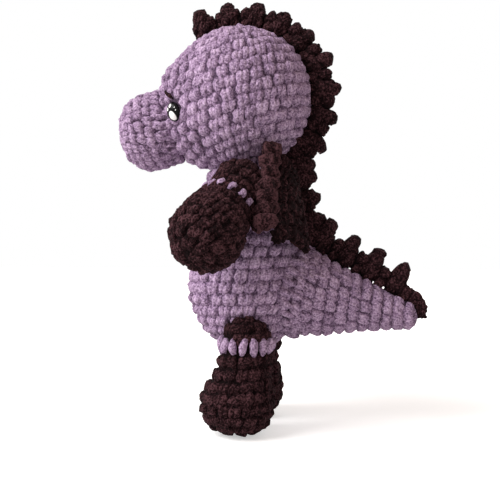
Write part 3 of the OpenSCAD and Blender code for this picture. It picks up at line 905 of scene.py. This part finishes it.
def eye_plastic(name, front):
    """Moulded gloss plastic: a black dome that mirrors the room, with painted highlights, white ovals that
    stand for reflections, on its front.
    """
    colours = bpy.context.scene.dinosaur_colours
    material, tree = new_material(name)
    dome = add_node(tree, "ShaderNodeUVMap", uv_map="dome")
    painted = 0.0
    for across, up, wide, tall in EYE_HIGHLIGHTS:
        spot = add_node(tree, "ShaderNodeMapping", {
            "Vector": dome,
            "Location": (-front * across / wide, -up / tall, 0),
            "Scale": (1 / wide, 1 / tall, 1),
        })
        away = add_node(tree, "ShaderNodeVectorMath", {0: spot}, operation="LENGTH").outputs["Value"]
        paint = add_node(tree, "ShaderNodeMapRange", dict(enumerate((away, *PAINT_EDGE))))
        painted = add_node(tree, "ShaderNodeMath", {0: painted, 1: paint}, operation="MAXIMUM")
    colour = add_node(
        tree, "ShaderNodeMix",
        {0: painted, 6: shader_colour(colours.eye), 7: shader_colour(colours.eye_highlight)},
        data_type="RGBA",
    )
    surface = add_node(tree, "ShaderNodeBsdfPrincipled", {
        "Base Color": colour.outputs[2], "Roughness": 0.22, "Specular IOR Level": 0.12,
    })
    add_node(tree, "ShaderNodeOutputMaterial", {"Surface": surface})
    return material


def washer_plastic():
    """Moulded polythene: a milky, slightly waxy washer with faint flow marks."""
    material, tree = new_material("milky washer plastic")
    place = add_node(tree, "ShaderNodeTexCoord").outputs["Object"]
    flow = add_node(tree, "ShaderNodeTexNoise", {"Vector": place, "Scale": 1 / FLOW_MARK, "Detail": 3.0})
    waxy = dict(enumerate((flow, *FLOW_CONTRAST, *WASHER_ROUGHNESS)))
    surface = add_node(tree, "ShaderNodeBsdfPrincipled", {
        "Base Color": shader_colour(bpy.context.scene.dinosaur_colours.washer),
        "Roughness": add_node(tree, "ShaderNodeMapRange", waxy),
        "Subsurface Weight": 0.1,
    })
    add_node(tree, "ShaderNodeOutputMaterial", {"Surface": surface})
    return material


# Body, head, snout, tail and neck
SNOUT_FILL = 0.9
TAIL_FILL = 0.85
HIDDEN_DEPTH = 3 * MM
HIDDEN_UNDER_SNOUT = 4 * MM
HIDDEN_UNDER_TAIL = 14 * MM
HIDDEN_AT_NECK = 17 * MM
EYE_HIDES = 0.85
SNOUT_STITCH = 0.85
# Sewing stitches as (count, length, width)
SNOUT_WHIP = (30, 9 * MM, 6 * MM)
TAIL_WHIP = (26, 14 * MM, 9 * MM)
WHIP_BACK = 0.35
WHIP_DEPTH = 0.15
NECK_LOOP_PITCH = 4.4 * MM
NECK_LOOP = (6 * MM, 9 * MM)
NECK_STEPS = 49


class CrochetOperator:
    """What the operators share."""

    bl_options = {"REGISTER", "UNDO"}


class DINOSAUR_OT_body(CrochetOperator, bpy.types.Operator):
    """Crochets the body in lilac"""

    bl_idname = "dinosaur.body"
    bl_label = "Crochet body"

    def execute(self, context):
        form = body_form()
        balls = [(HEAD_MID, HEAD_R)]
        balls += [(mirrored(SHOULDER, side), ARM_ROOT_R) for side in SIDES.values()]
        balls += [(mirrored(HIP, side), LEG_ROOT_R + HIP_ROOM) for side in SIDES.values()]

        def shown(place, travel):
            hidden = in_tail(place, HIDDEN_UNDER_TAIL) & (place[:, 1] > BELLY_MID[1])
            for middle, radius in balls:
                hidden |= in_ball(place, middle, radius - HIDDEN_DEPTH)
            return ~hidden

        under = lining(form, press=[(middle, radius + MM) for middle, radius in balls])
        cover("body", "torso", form, under, "lilac_yarn", shown)
        return {"FINISHED"}


class DINOSAUR_OT_head(CrochetOperator, bpy.types.Operator):
    """Crochets the head in lilac"""

    bl_idname = "dinosaur.head"
    bl_label = "Crochet head"

    def execute(self, context):
        form = head_form()

        def shown(place, travel):
            hidden = in_snout(place, HIDDEN_UNDER_SNOUT)
            hidden |= in_ball(place, HEAD_MID - NECK_UP * HEAD_R, HIDDEN_AT_NECK)
            for side in SIDES.values():
                hidden |= in_ball(place, HEAD_MID + eye_out(side) * HEAD_R, EYE_HIDES * EYE_R)
            return ~hidden

        cover("head", "head", form, lining(form), "lilac_yarn", shown, flipped=True)
        return {"FINISHED"}


def sewn_on(name, body, form, inside, fill, tuck, whip, share=1.0):
    """Crochets a form and sews it to a neighbour. Inside tells which points lie so deep in the neighbour."""
    steps = np.linspace(0, form.length, MEETING_STEPS)

    def ends(angle):
        """The travel at which the form goes into its neighbour, for each angle."""
        found = []
        for turn in angle:
            buried = np.nonzero(inside(form.at(steps, np.full(MEETING_STEPS, turn))[0], 0))[0]
            found.append(steps[buried[0]] if len(buried) else form.length)
        return np.array(found)

    def shown(place, travel):
        return ~inside(place, HIDDEN_DEPTH)

    under = lining(form, ends=lambda angle: ends(angle) + tuck)
    cover(name, body, form, under, "lilac_yarn", shown, share)
    count, length, width = whip
    angle = turns(count)
    places = form.at(ends(angle) - WHIP_BACK * length, angle, WHIP_DEPTH * width)
    trim(f"{name}_sewing", body, f"{name}_seam", Stitches().add(*places, width, length), "loop")


class DINOSAUR_OT_snout(CrochetOperator, bpy.types.Operator):
    """Crochets the snout in lilac and sews it on"""

    bl_idname = "dinosaur.snout"
    bl_label = "Crochet snout"

    def execute(self, context):
        sizes = (SNOUT_FILL, SNOUT_TUCK, SNOUT_WHIP, SNOUT_STITCH)
        sewn_on("snout", "head", snout_form(), in_cheeks, *sizes)
        return {"FINISHED"}


class DINOSAUR_OT_tail(CrochetOperator, bpy.types.Operator):
    """Crochets the tail in lilac and sews it on"""

    bl_idname = "dinosaur.tail"
    bl_label = "Crochet tail"

    def execute(self, context):
        sewn_on("tail", "tail", tail_form(), in_body, TAIL_FILL, TAIL_TUCK, TAIL_WHIP)
        return {"FINISHED"}


class DINOSAUR_OT_neck(CrochetOperator, bpy.types.Operator):
    """Sews the head on with a ring of lilac loops"""

    bl_idname = "dinosaur.neck"
    bl_label = "Sew neck"

    def execute(self, context):
        low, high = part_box("neck_seam")
        middle = np.array((low + high) / 2)
        across = np.cross(NECK_UP, SIDEWAYS)
        out = round_about(turns(round(2 * math.pi * NECK_R / NECK_LOOP_PITCH)), SIDEWAYS, across)
        up = np.broadcast_to(NECK_UP, out.shape)
        loops = Stitches().add(middle + out * NECK_R, out, up, *NECK_LOOP)
        ring = round_about(np.linspace(0, 2 * math.pi, NECK_STEPS), SIDEWAYS, across)
        thick = np.broadcast_to(NECK_UP * NECK_CORE_R, ring.shape)
        core = tube(middle + ring * NECK_R, ring * NECK_CORE_R, thick)
        trim("neck_sewing", "neck", "neck_seam", loops, "loop", under=[core])
        return {"FINISHED"}


# Arms and legs, with their stripes' stitches as (width, height)
DIAMOND_PITCH = 9 * MM
LEG_DIAMOND = (6.8 * MM, 13 * MM)
ARM_DIAMOND = (6.2 * MM, 8 * MM)
STRIPE_ROOM = 0.6


def limb(name, form, along, diamond, room=0.0):
    """Crochets a plum limb with a lilac round of tall stitches so far along it, in the room left for them."""
    # The first third of the travel is passed over, because a sole is level
    first = len(form.along) // 3
    stripe = np.interp(along, form.along[first:], form.travel[first:])

    def shown(place, travel):
        return np.abs(travel - stripe) >= room

    cover(name, name, form, lining(form), "plum_yarn", shown)
    count = round(2 * math.pi * form.radius_at(stripe) / DIAMOND_PITCH)
    places = form.at(np.full(count, stripe), turns(count), STITCH_CROWN * diamond[0])
    trim(f"{name}_band", name, f"{name}_stripe", Stitches().add(*places, *diamond), "diamond")


class DINOSAUR_OT_arms(CrochetOperator, bpy.types.Operator):
    """Crochets the two arms in plum, each with a lilac stripe"""

    bl_idname = "dinosaur.arms"
    bl_label = "Crochet arms"

    def execute(self, context):
        for name, side in SIDES.items():
            limb(f"{name}_arm", arm_form(side), ARM_REACH + PAW_R - ARM_STRIPE_AT, ARM_DIAMOND)
        return {"FINISHED"}


class DINOSAUR_OT_legs(CrochetOperator, bpy.types.Operator):
    """Crochets the two legs in plum, each with a lilac stripe"""

    bl_idname = "dinosaur.legs"
    bl_label = "Crochet legs"

    def execute(self, context):
        room = STRIPE_ROOM * context.scene.dinosaur_yarn.round_height
        for name, side in SIDES.items():
            limb(f"{name}_leg", leg_form(side), LEG_LEN + LEG_STRIPE_UP, LEG_DIAMOND, room)
        return {"FINISHED"}


# Wings
WING_CHORD = 57 * MM
WING_T = 7 * MM
WING_ROOT_LEN = 50 * MM
WING_FOLD = math.radians(33)
WING_LEAN = 0.55
WING_LEAD_LOW = 12 * MM
WING_LEAD_HIGH = 76 * MM
WING_BULGE = 9 * MM
WING_LEVEL_AT = 0.75
WING_SCALLOP = 7 * MM
WING_POINT_AT = 0.2
WING_FRONT_AT = 0.86
WING_POINT_LOW = -11 * MM
WING_GRID = (18, 14)
WING_ROWS = 7
WING_NUDGE = 0.01
EDGE_R = 8.1 * MM
EDGE_TOP_R = 5.5 * MM
EDGE_CLEAR = 1.2 * MM
EDGE_LOOPS = 4
EDGE_STEPS = 30
EDGE_SINK = 0.4
EDGE_OVERLAP = 1.15


def wing_axes(side):
    """A wing's foot, and its directions along the chord, along the sewn edge and proud of the body."""
    ahead = np.array((math.cos(WING_FOLD), -math.sin(WING_FOLD), 0.0))
    out = unit(ahead - WING_UP * np.dot(ahead, WING_UP))
    return [mirrored(vector, side) for vector in (WING_FOOT, out, WING_UP, np.cross(WING_UP, out))]


def wing_low(u):
    """How far the lower edge hangs: a point near each end, and a scallop between them."""
    scallop = (u - WING_POINT_AT) / (WING_FRONT_AT - WING_POINT_AT)
    hang = WING_POINT_LOW + WING_SCALLOP * np.sin(np.pi * np.clip(scallop, 0, 1))
    rear = WING_POINT_LOW * ease(u / WING_POINT_AT)
    front = WING_POINT_LOW * ease((1 - u) / (1 - WING_FRONT_AT))
    return np.where(u < WING_POINT_AT, rear, np.where(u > WING_FRONT_AT, front, hang))


def wing_chord(w):
    """Distance from a wing's sewn edge to its rolled edge."""
    return WING_CHORD * (1 - WING_LEAN * w)


def wing_place(side, u, w, proud=0.0):
    """A point of the wing: u from its sewn edge to its rolled edge, w from its foot to its top."""
    foot, out_way, up_way, proud_way = wing_axes(side)
    u, w = np.broadcast_arrays(np.asarray(u, float), np.asarray(w, float))
    root_up = WING_ROOT_LEN * w
    lead_up = between(WING_LEAD_LOW, WING_LEAD_HIGH, w)
    up = between(root_up, lead_up, u) + wing_low(u) * (1 - w)
    out = wing_chord(w) * u
    proud = proud + WING_BULGE * np.sqrt(np.sin(np.pi * np.clip(u, 0, WING_LEVEL_AT)))
    return foot + out[..., None] * out_way + up[..., None] * up_way + proud[..., None] * proud_way


def edge_radius(w):
    """Radius of the rolled edge, which is fatter low down."""
    return between(EDGE_R, EDGE_TOP_R, ease(w))


def panel_end(w):
    """Where the panel stops, short of the rolled edge."""
    return 1 - (edge_radius(w) + EDGE_CLEAR) / wing_chord(w)


class DINOSAUR_OT_wings(CrochetOperator, bpy.types.Operator):
    """Crochets the two wings in plum, each with a rolled edge of loops"""

    bl_idname = "dinosaur.wings"
    bl_label = "Crochet wings"

    def execute(self, context):
        for name, side in SIDES.items():
            self.make_panel(name, side, context.scene.dinosaur_yarn.stitch_width)
            self.make_edge(name, side, context.scene.dinosaur_yarn.edge_width)
        return {"FINISHED"}

    def make_panel(self, name, side, width):
        """The panel: a slab that follows the wing's bulge, with rows of stitches on both faces."""
        proud_way = wing_axes(side)[3]
        stitches = Stitches()
        for i in range(WING_ROWS):
            share = (i + 0.5) / WING_ROWS
            tall = np.linalg.norm(wing_place(side, share, 1.0) - wing_place(side, share, 0.0))
            count = round(tall / width)
            w = (np.arange(count) + 0.5) / count
            u = share * panel_end(w)
            middle = wing_place(side, u, w)
            onward = wing_place(side, u + WING_NUDGE, w) - middle
            out = unit(np.cross(onward, wing_place(side, u, w + WING_NUDGE) - middle))
            out = out * np.sign(out @ proud_way)[:, None]
            height = STITCH_OVERLAP * wing_chord(w) / WING_ROWS
            for face in (1, -1):
                sunk = WING_T / 2 - STITCH_CROWN * width
                stitches.add(middle + face * out * sunk, face * out, onward, width, height)
        across, tall = WING_GRID
        w = np.linspace(0, 1, tall)
        u = np.linspace(0, 1, across)[:, None] * panel_end(w)
        half = WING_T / 2 - THIN_LINING_DEPTH
        rings = np.concatenate((wing_place(side, u, w, half), wing_place(side, u, w, -half)[:, ::-1]), axis=1)
        rings = rings if side < 0 else rings[:, ::-1]
        slab = shell(rings[0].mean(axis=0), rings, rings[-1].mean(axis=0))
        piece = crochet(f"{name}_wing_panel", [slab], [(stitches, "stitch")], "plum_yarn")
        give(piece, f"{name}_wing", [f"{name}_wing"])

    def make_edge(self, name, side, width):
        """The rolled edge: a rope of loops that grow towards its lower end."""
        out_way, proud_way = wing_axes(side)[1], wing_axes(side)[3]
        w = np.linspace(0, 1, EDGE_STEPS)
        path = wing_place(side, np.ones(EDGE_STEPS), w)
        length = path_length(path)
        rows = round(length / width)
        pitch = length / rows
        stitches = Stitches()
        for i in range(rows):
            here = (i + 0.5) / rows
            radius = edge_radius(here)
            angle = 2 * math.pi * (np.arange(EDGE_LOOPS) + 0.5 * (i % 2)) / EDGE_LOOPS
            out = round_about(angle, out_way, proud_way)
            place = wing_place(side, 1.0, here) + out * (radius - EDGE_SINK * pitch)
            arc = 2 * math.pi * radius / EDGE_LOOPS
            stitches.add(place, out, round_about(angle, proud_way, -out_way), EDGE_OVERLAP * pitch, arc)
        core = (edge_radius(w) - THIN_LINING_DEPTH)[:, None]
        rope = tube(path, core * out_way, core * proud_way * -side)
        # Its rolled loops are painted lighter all round, a painted highlight on the edge
        piece = crochet(f"{name}_wing_roll", [rope], [(stitches, "rolled")], "plum_yarn")
        give(piece, f"{name}_wing", [f"{name}_wing_edge"])


# Mane: each band's heights along it, and the shares of its length where spikes stand
HEAD_BAND = (10 * MM, 16 * MM, 15 * MM)
BACK_BAND = (13 * MM, 13 * MM)
TAIL_BAND = (17 * MM, 14 * MM, 3 * MM)
CREST_W = 13 * MM
CREST_FRONT = math.radians(35)
CREST_NAPE = math.radians(132)
BACK_CREST_LOW = math.radians(14)
BACK_CREST_TOP = math.radians(47.2)
TAIL_CREST_TUCK = 9 * MM
TAIL_BEND_AT = 0.75
TAIL_WRAP = math.radians(82)
HEAD_SPIKES = np.linspace(0.055, 0.93, 9)
BACK_SPIKES = np.linspace(0.14, 0.7, 3)
TAIL_SPIKES = TAIL_BEND_AT * np.linspace(0.13, 0.84, 4)
NAPE_SPIKES = (0.5,)
SPIKE_R = 8.5 * MM
SPIKE_TIP_R = 4.5 * MM
SPIKE_H = 21 * MM
TAIL_SPIKE_H = 26 * MM
NAPE_SPIKE_H = 19 * MM
MANE_SINK = 2.5 * MM
NAPE_SINK = 9 * MM
NAPE_TUCK = 0.5
MANE_STEPS = 40
MANE_LEAN = 0.25
MANE_OVERLAP = 1.25
RIDGE_OVERLAP = 1.2
SPIKE_ROUNDS = ((0.35, 6, 1.0), (0.62, 5, 0.82))
SPIKE_STITCH_H = 0.52
SPIKE_STITCH_LEAN = 0.35
SPIKE_LEAN = 0.12
SPIKE_UNEVEN = (0.94, 1.04)
SPIKE_LINING_H = 0.9
SPIKE_FOOT = ((0.65, 0.9), (1.0, 1.0))
TIP_STEPS = 12
TIP_SIZE = (10.5 * MM, 11 * MM)


def head_crest(share):
    """A point and the outward direction along the head's crest, from the forehead to the nape."""
    turn = between(CREST_FRONT, -CREST_NAPE, share)
    out = np.array((0.0, -math.sin(turn), math.cos(turn)))
    return HEAD_MID + out * HEAD_R, out


def back_crest(share):
    """A point and the outward direction along the back's crest, from the neck down to the tail."""
    turn = between(BACK_CREST_TOP, BACK_CREST_LOW, share)
    place = BELLY_MID + (0, BELLY_R * math.cos(turn), BODY_UP * math.sin(turn))
    return place, unit((0, BODY_UP * math.cos(turn), BELLY_R * math.sin(turn)))


def tail_crest(share):
    """A point and the outward direction along the tail's crest, from the body and round the tip."""
    first, last = BELLY_R - TAIL_CREST_TUCK, TAIL_REACH - TAIL_TIP_R
    slope = math.atan2(TAIL_ROOT_R - TAIL_TIP_R, last - BELLY_R)
    bend = max(0, share - TAIL_BEND_AT) / (1 - TAIL_BEND_AT)
    lean, turn = TAIL_WRAP * bend, between(slope, TAIL_WRAP, bend)
    reach = between(first, last, min(1, share / TAIL_BEND_AT))
    on_tail = (TAIL_TOP * math.cos(lean) + TAIL_AHEAD * math.sin(lean)) * tail_radius(reach)
    return TAIL_MID + TAIL_AHEAD * reach + on_tail, TAIL_TOP * math.cos(turn) + TAIL_AHEAD * math.sin(turn)


def nape_crest(share):
    """A point and the outward direction from the back's crest up to the head's, with both ends tucked in."""
    low, low_out = back_crest(0)
    high, high_out = head_crest(1)
    reach = between(-NAPE_TUCK, 1 + NAPE_TUCK, share)
    return between(low, high, reach), unit(between(low_out, high_out, np.clip(reach, 0, 1)))


def spike_form(place, out, height):
    """The lining of a spike: a blunt rounded cone."""
    tip = quarter(SPIKE_TIP_R, SPIKE_TIP_R, steps=TIP_STEPS)
    foot = [(along * height, wide * SPIKE_R) for along, wide in SPIKE_FOOT]
    return Form(place + out * height, -out, tip + foot)


def spike_stitches(rounds, tips, place, out, height, turn):
    """A spike: two rounds of stitches that narrow upwards, and a fat strand for its tip."""
    across = np.cross(out, SIDEWAYS)
    for share, count, wide in SPIKE_ROUNDS:
        radial = round_about(turn + turns(count), SIDEWAYS, across)
        width = 2 * math.pi * wide * SPIKE_R / count
        at = place + out * share * height + radial * (wide * SPIKE_R - STITCH_CROWN * width)
        onward = np.broadcast_to(out, at.shape)
        rounds.add(at, radial + SPIKE_STITCH_LEAN * out, onward, width, SPIKE_STITCH_H * height)
    top = place + out * (height - 0.5 * TIP_SIZE[1])
    tips.add(top[None], across[None], out[None], *TIP_SIZE)


def mane_piece(name, crest, bands, spikes, height, sink=MANE_SINK):
    """A crest's band and its spikes of a height. It starts so far under the crest."""
    yarn = bpy.context.scene.dinosaur_yarn
    width = yarn.mane_width
    rounds, tips = Stitches(), Stitches()

    def strip(shares):
        """The foot of the band, the outward direction and the band's height at shares of its length."""
        foot, out = np.array([crest(share) for share in shares]).transpose(1, 0, 2)
        tall = np.interp(shares, np.linspace(0, 1, len(bands)), bands)[:, None] + sink
        return foot - out * sink, out, tall

    path, out, tall = strip(np.linspace(0, 1, MANE_STEPS))
    thick = np.broadcast_to(SIDEWAYS * (CREST_W / 2 - THIN_LINING_DEPTH), path.shape)
    shells = [tube(path + out * tall / 2, thick, -out * (tall / 2 - THIN_LINING_DEPTH))]
    count = round(path_length(path) / width)
    rows = round(max(bands) / yarn.round_height)
    foot, out, tall = strip((np.arange(count) + 0.5) / count)
    for way in SIDES.values():
        face = SIDEWAYS * way
        for row in range(rows):
            at = foot + out * tall * (row + 0.5) / rows + face * (CREST_W / 2 - STITCH_CROWN * width)
            rounds.add(at, face + MANE_LEAN * out, out, width, MANE_OVERLAP * tall[:, 0] / rows)
    ridge = foot + out * (tall - STITCH_CROWN * width)
    rounds.add(ridge, out, np.cross(SIDEWAYS, out), CREST_W, RIDGE_OVERLAP * width)
    chance = np.random.default_rng(yarn.seed)
    for share in spikes:
        place, out = crest(share)
        place = place - out * sink
        out = unit(out + chance.uniform(-SPIKE_LEAN, SPIKE_LEAN) * SIDEWAYS)
        high = (height + sink) * chance.uniform(*SPIKE_UNEVEN)
        shells.append(lining(spike_form(place, out, SPIKE_LINING_H * high), THIN_LINING_DEPTH))
        spike_stitches(rounds, tips, place, out, high, chance.uniform(0, math.pi))
    return crochet(name, shells, [(rounds, "stitch"), (tips, "bobble")], "plum_yarn")


class DINOSAUR_OT_mane(CrochetOperator, bpy.types.Operator):
    """Crochets the spiked mane in plum along the head, the back, the tail and the nape"""

    bl_idname = "dinosaur.mane"
    bl_label = "Crochet mane"

    def execute(self, context):
        strips = (
            ("head", "head", head_crest, HEAD_BAND, HEAD_SPIKES, SPIKE_H),
            ("back", "torso", back_crest, BACK_BAND, BACK_SPIKES, SPIKE_H),
            ("tail", "tail", tail_crest, TAIL_BAND, TAIL_SPIKES, TAIL_SPIKE_H),
        )
        for name, body, *sizes in strips:
            give(mane_piece(f"{name}_mane", *sizes), body, [f"{name}_spikes"])
        nape = mane_piece("nape_mane", nape_crest, BACK_BAND, NAPE_SPIKES, NAPE_SPIKE_H, NAPE_SINK)
        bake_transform(nape)
        return {"FINISHED"}


# Face
EYE_SIDES = 40
EYE_ROWS = 18
EYE_STEPS = 16
EYE_FOOT = ((0.6, 0.97), (1.0, 0.86))


class DINOSAUR_OT_face(CrochetOperator, bpy.types.Operator):
    """Makes the eyes, their washers and the brows"""

    bl_idname = "dinosaur.face"
    bl_label = "Make face"

    def execute(self, context):
        milky = washer_plastic()
        for name, side in SIDES.items():
            self.make_eye(name, side)
            self.make_brow(name, side)
            washer = bpy.data.objects[f"{name}_eye_washer"]
            washer.data.materials.clear()
            washer.data.materials.append(milky)
        return {"FINISHED"}

    def make_eye(self, name, side):
        """A domed eye with a rolled rim, pressed into the fabric."""
        out = eye_out(side)
        dome = [(0, 0)] + quarter(EYE_R, EYE_DOME, EYE_SQUARE, EYE_STEPS)[1:]
        foot = [(EYE_DOME + deep * EYE_SINK, wide * EYE_R) for deep, wide in EYE_FOOT]
        form = Form(HEAD_MID + out * (HEAD_R + EYE_LIFT + EYE_DOME), -out, dome + foot)
        travel = form.length * np.arange(1, EYE_ROWS + 1) / EYE_ROWS
        grid = np.broadcast_to(travel[:, None], (EYE_ROWS, EYE_SIDES))
        rings = form.at(grid, np.broadcast_to(turns(EYE_SIDES), grid.shape))[0]
        mesh = joined(f"{name}_eye_dome", [shell(form.start, rings, rings[-1].mean(axis=0))])
        mesh.materials.append(eye_plastic(f"{name} black eye plastic", side))
        up = unit(UP - out * out[2])
        across = np.cross(up, out)
        layer = mesh.uv_layers.new(name="dome")
        for corner in mesh.loops:
            away = np.array(mesh.vertices[corner.vertex_index].co) - HEAD_MID
            layer.data[corner.index].uv = (away @ across / EYE_R, away @ up / EYE_R)
        give(linked(mesh.name, mesh), "head", [f"{name}_eye"])

    def make_brow(self, name, side):
        """A brow: one long dark strand laid over the fabric."""
        out = eye_out(side, BROW_LIFT)
        level = mirrored((math.cos(EYE_TURN), math.sin(EYE_TURN), 0), side)
        along = level * math.cos(BROW_SLOPE) - unit(UP - out * out[2]) * math.sin(BROW_SLOPE)
        middle = HEAD_MID + out * (HEAD_R + BROW_PROUD + cheek_swell(HEAD_MID + out * HEAD_R))
        strand = Stitches().add(middle[None], out[None], along[None], BROW_WIDTH, BROW_LEN)
        trim(f"{name}_brow_thread", "head", f"{name}_brow", strand, "loop", "plum_yarn")


# Stage: lamps as (name, place, size, power), and the view
LAMPS = (
    ("key", (0.72, -1.08, 1.1), 1.1, 31.5),
    ("fill", (1.3, 0.6, 0.5), 1.2, 1.2),
    ("far_fill", (-1.2, 0.2, 0.9), 1.2, 7.0),
)
AMBIENT = 0.36
WHITE = (1, 1, 1, 1)
FLOOR_HALF = 3.0
FLOOR_FADE = (0.15, 0.7)
FLOOR_GLOW = (0.5, 1.0)
VIEW_TURN = math.radians(97)
VIEW_RISE = math.radians(1)
VIEW_DISTANCE = 0.65
VIEW_TARGET = Vector((0.0, -14.8 * MM, 139.5 * MM))
VIEW_LENS = 58.5


def aim(item, place):
    """Puts a lamp or the camera in its place, pointed at the toy."""
    item.location = place
    item.rotation_euler = (VIEW_TARGET - Vector(place)).to_track_quat("-Z", "Y").to_euler()


class DINOSAUR_OT_stage(CrochetOperator, bpy.types.Operator):
    """Sets the floor, the lights, the background and the camera"""

    bl_idname = "dinosaur.stage"
    bl_label = "Set stage"

    def execute(self, context):
        scene = context.scene
        scene.view_settings.view_transform = "Standard"
        self.lay_floor(scene.dinosaur_colours)
        for name, place, size, power in LAMPS:
            light = bpy.data.lights.new(name, "AREA")
            light.size = size
            light.energy = power
            aim(linked(name, light), place)
        self.paint_background(scene)
        self.place_camera(scene)
        return {"FINISHED"}

    def lay_floor(self, colours):
        """A plain pale floor that looks white to the camera and keeps the toy's shadow."""
        mesh = bpy.data.meshes.new("floor")
        corners = [(x * FLOOR_HALF, y * FLOOR_HALF, 0) for x, y in ((-1, -1), (1, -1), (1, 1), (-1, 1))]
        mesh.from_pydata(corners, [], [(0, 1, 2, 3)])
        material, tree = new_material("pale matt floor")
        paint = add_node(tree, "ShaderNodeBsdfDiffuse", {"Color": shader_colour(colours.floor)})
        place = add_node(tree, "ShaderNodeTexCoord").outputs["Object"]
        away = add_node(tree, "ShaderNodeVectorMath", {0: place}, operation="LENGTH").outputs["Value"]
        bright = add_node(tree, "ShaderNodeMapRange", dict(enumerate((away, *FLOOR_FADE, *FLOOR_GLOW))))
        seen = add_node(tree, "ShaderNodeLightPath").outputs["Is Camera Ray"]
        strength = add_node(tree, "ShaderNodeMath", {0: bright, 1: seen}, operation="MULTIPLY")
        glow = add_node(tree, "ShaderNodeEmission", {"Color": WHITE, "Strength": strength})
        both = add_node(tree, "ShaderNodeAddShader", {0: paint, 1: glow})
        add_node(tree, "ShaderNodeOutputMaterial", {"Surface": both})
        mesh.materials.append(material)
        linked("floor", mesh)

    def paint_background(self, scene):
        """White where the camera and mirrors look, and a plain dim light for everything else."""
        world = bpy.data.worlds.new("studio")
        scene.world = world
        world.use_nodes = True
        tree = world.node_tree
        tree.nodes.clear()
        ray = add_node(tree, "ShaderNodeLightPath").outputs
        seen = ray["Is Camera Ray"]
        for other in ("Is Glossy Ray", "Is Transmission Ray"):
            seen = add_node(tree, "ShaderNodeMath", {0: seen, 1: ray[other]}, operation="MAXIMUM")
        white = add_node(tree, "ShaderNodeBackground", {"Color": WHITE, "Strength": 1.0})
        ambient = shader_colour(scene.dinosaur_colours.ambient)
        dim = add_node(tree, "ShaderNodeBackground", {"Color": ambient, "Strength": AMBIENT})
        sky = add_node(tree, "ShaderNodeMixShader", {0: seen, 1: dim, 2: white})
        add_node(tree, "ShaderNodeOutputWorld", {"Surface": sky})

    def place_camera(self, scene):
        """The camera looks at the toy's left side, a little from behind."""
        data = bpy.data.cameras.new("camera")
        data.lens = VIEW_LENS
        scene.camera = linked("camera", data)
        level = math.cos(VIEW_RISE)
        back = (math.sin(VIEW_TURN) * level, -math.cos(VIEW_TURN) * level, math.sin(VIEW_RISE))
        aim(scene.camera, VIEW_TARGET + Vector(back) * VIEW_DISTANCE)


PIECES = (
    DINOSAUR_OT_body,
    DINOSAUR_OT_head,
    DINOSAUR_OT_snout,
    DINOSAUR_OT_tail,
    DINOSAUR_OT_neck,
    DINOSAUR_OT_arms,
    DINOSAUR_OT_legs,
    DINOSAUR_OT_wings,
    DINOSAUR_OT_mane,
    DINOSAUR_OT_face,
    DINOSAUR_OT_stage,
)


class DINOSAUR_PT_sidebar(bpy.types.Panel):
    """Lists the settings and the pieces"""

    bl_idname = "DINOSAUR_PT_sidebar"
    bl_label = "Dinosaur"
    bl_space_type = "VIEW_3D"
    bl_region_type = "UI"
    bl_category = "Dinosaur"

    def draw(self, context):
        for settings in (context.scene.dinosaur_yarn, context.scene.dinosaur_colours):
            for name in settings.__annotations__:
                self.layout.prop(settings, name)
        for piece in PIECES:
            self.layout.operator(piece.bl_idname)


CLASSES = (YarnSettings, ColourSettings, *PIECES, DINOSAUR_PT_sidebar)


def register():
    """Adds the settings, the operators and the panel."""
    for item in CLASSES:
        bpy.utils.register_class(item)
    bpy.types.Scene.dinosaur_yarn = PointerProperty(type=YarnSettings)
    bpy.types.Scene.dinosaur_colours = PointerProperty(type=ColourSettings)


def unregister():
    """Takes away what register adds."""
    del bpy.types.Scene.dinosaur_colours
    del bpy.types.Scene.dinosaur_yarn
    for item in reversed(CLASSES):
        bpy.utils.unregister_class(item)


def main():
    """Makes every piece in order."""
    register()
    for piece in PIECES:
        getattr(bpy.ops.dinosaur, piece.bl_idname.split(".")[1])()
    for kind in STITCH_KINDS:
        bpy.data.objects.remove(bpy.data.objects[kind])


if __name__ == "__main__":
    main()
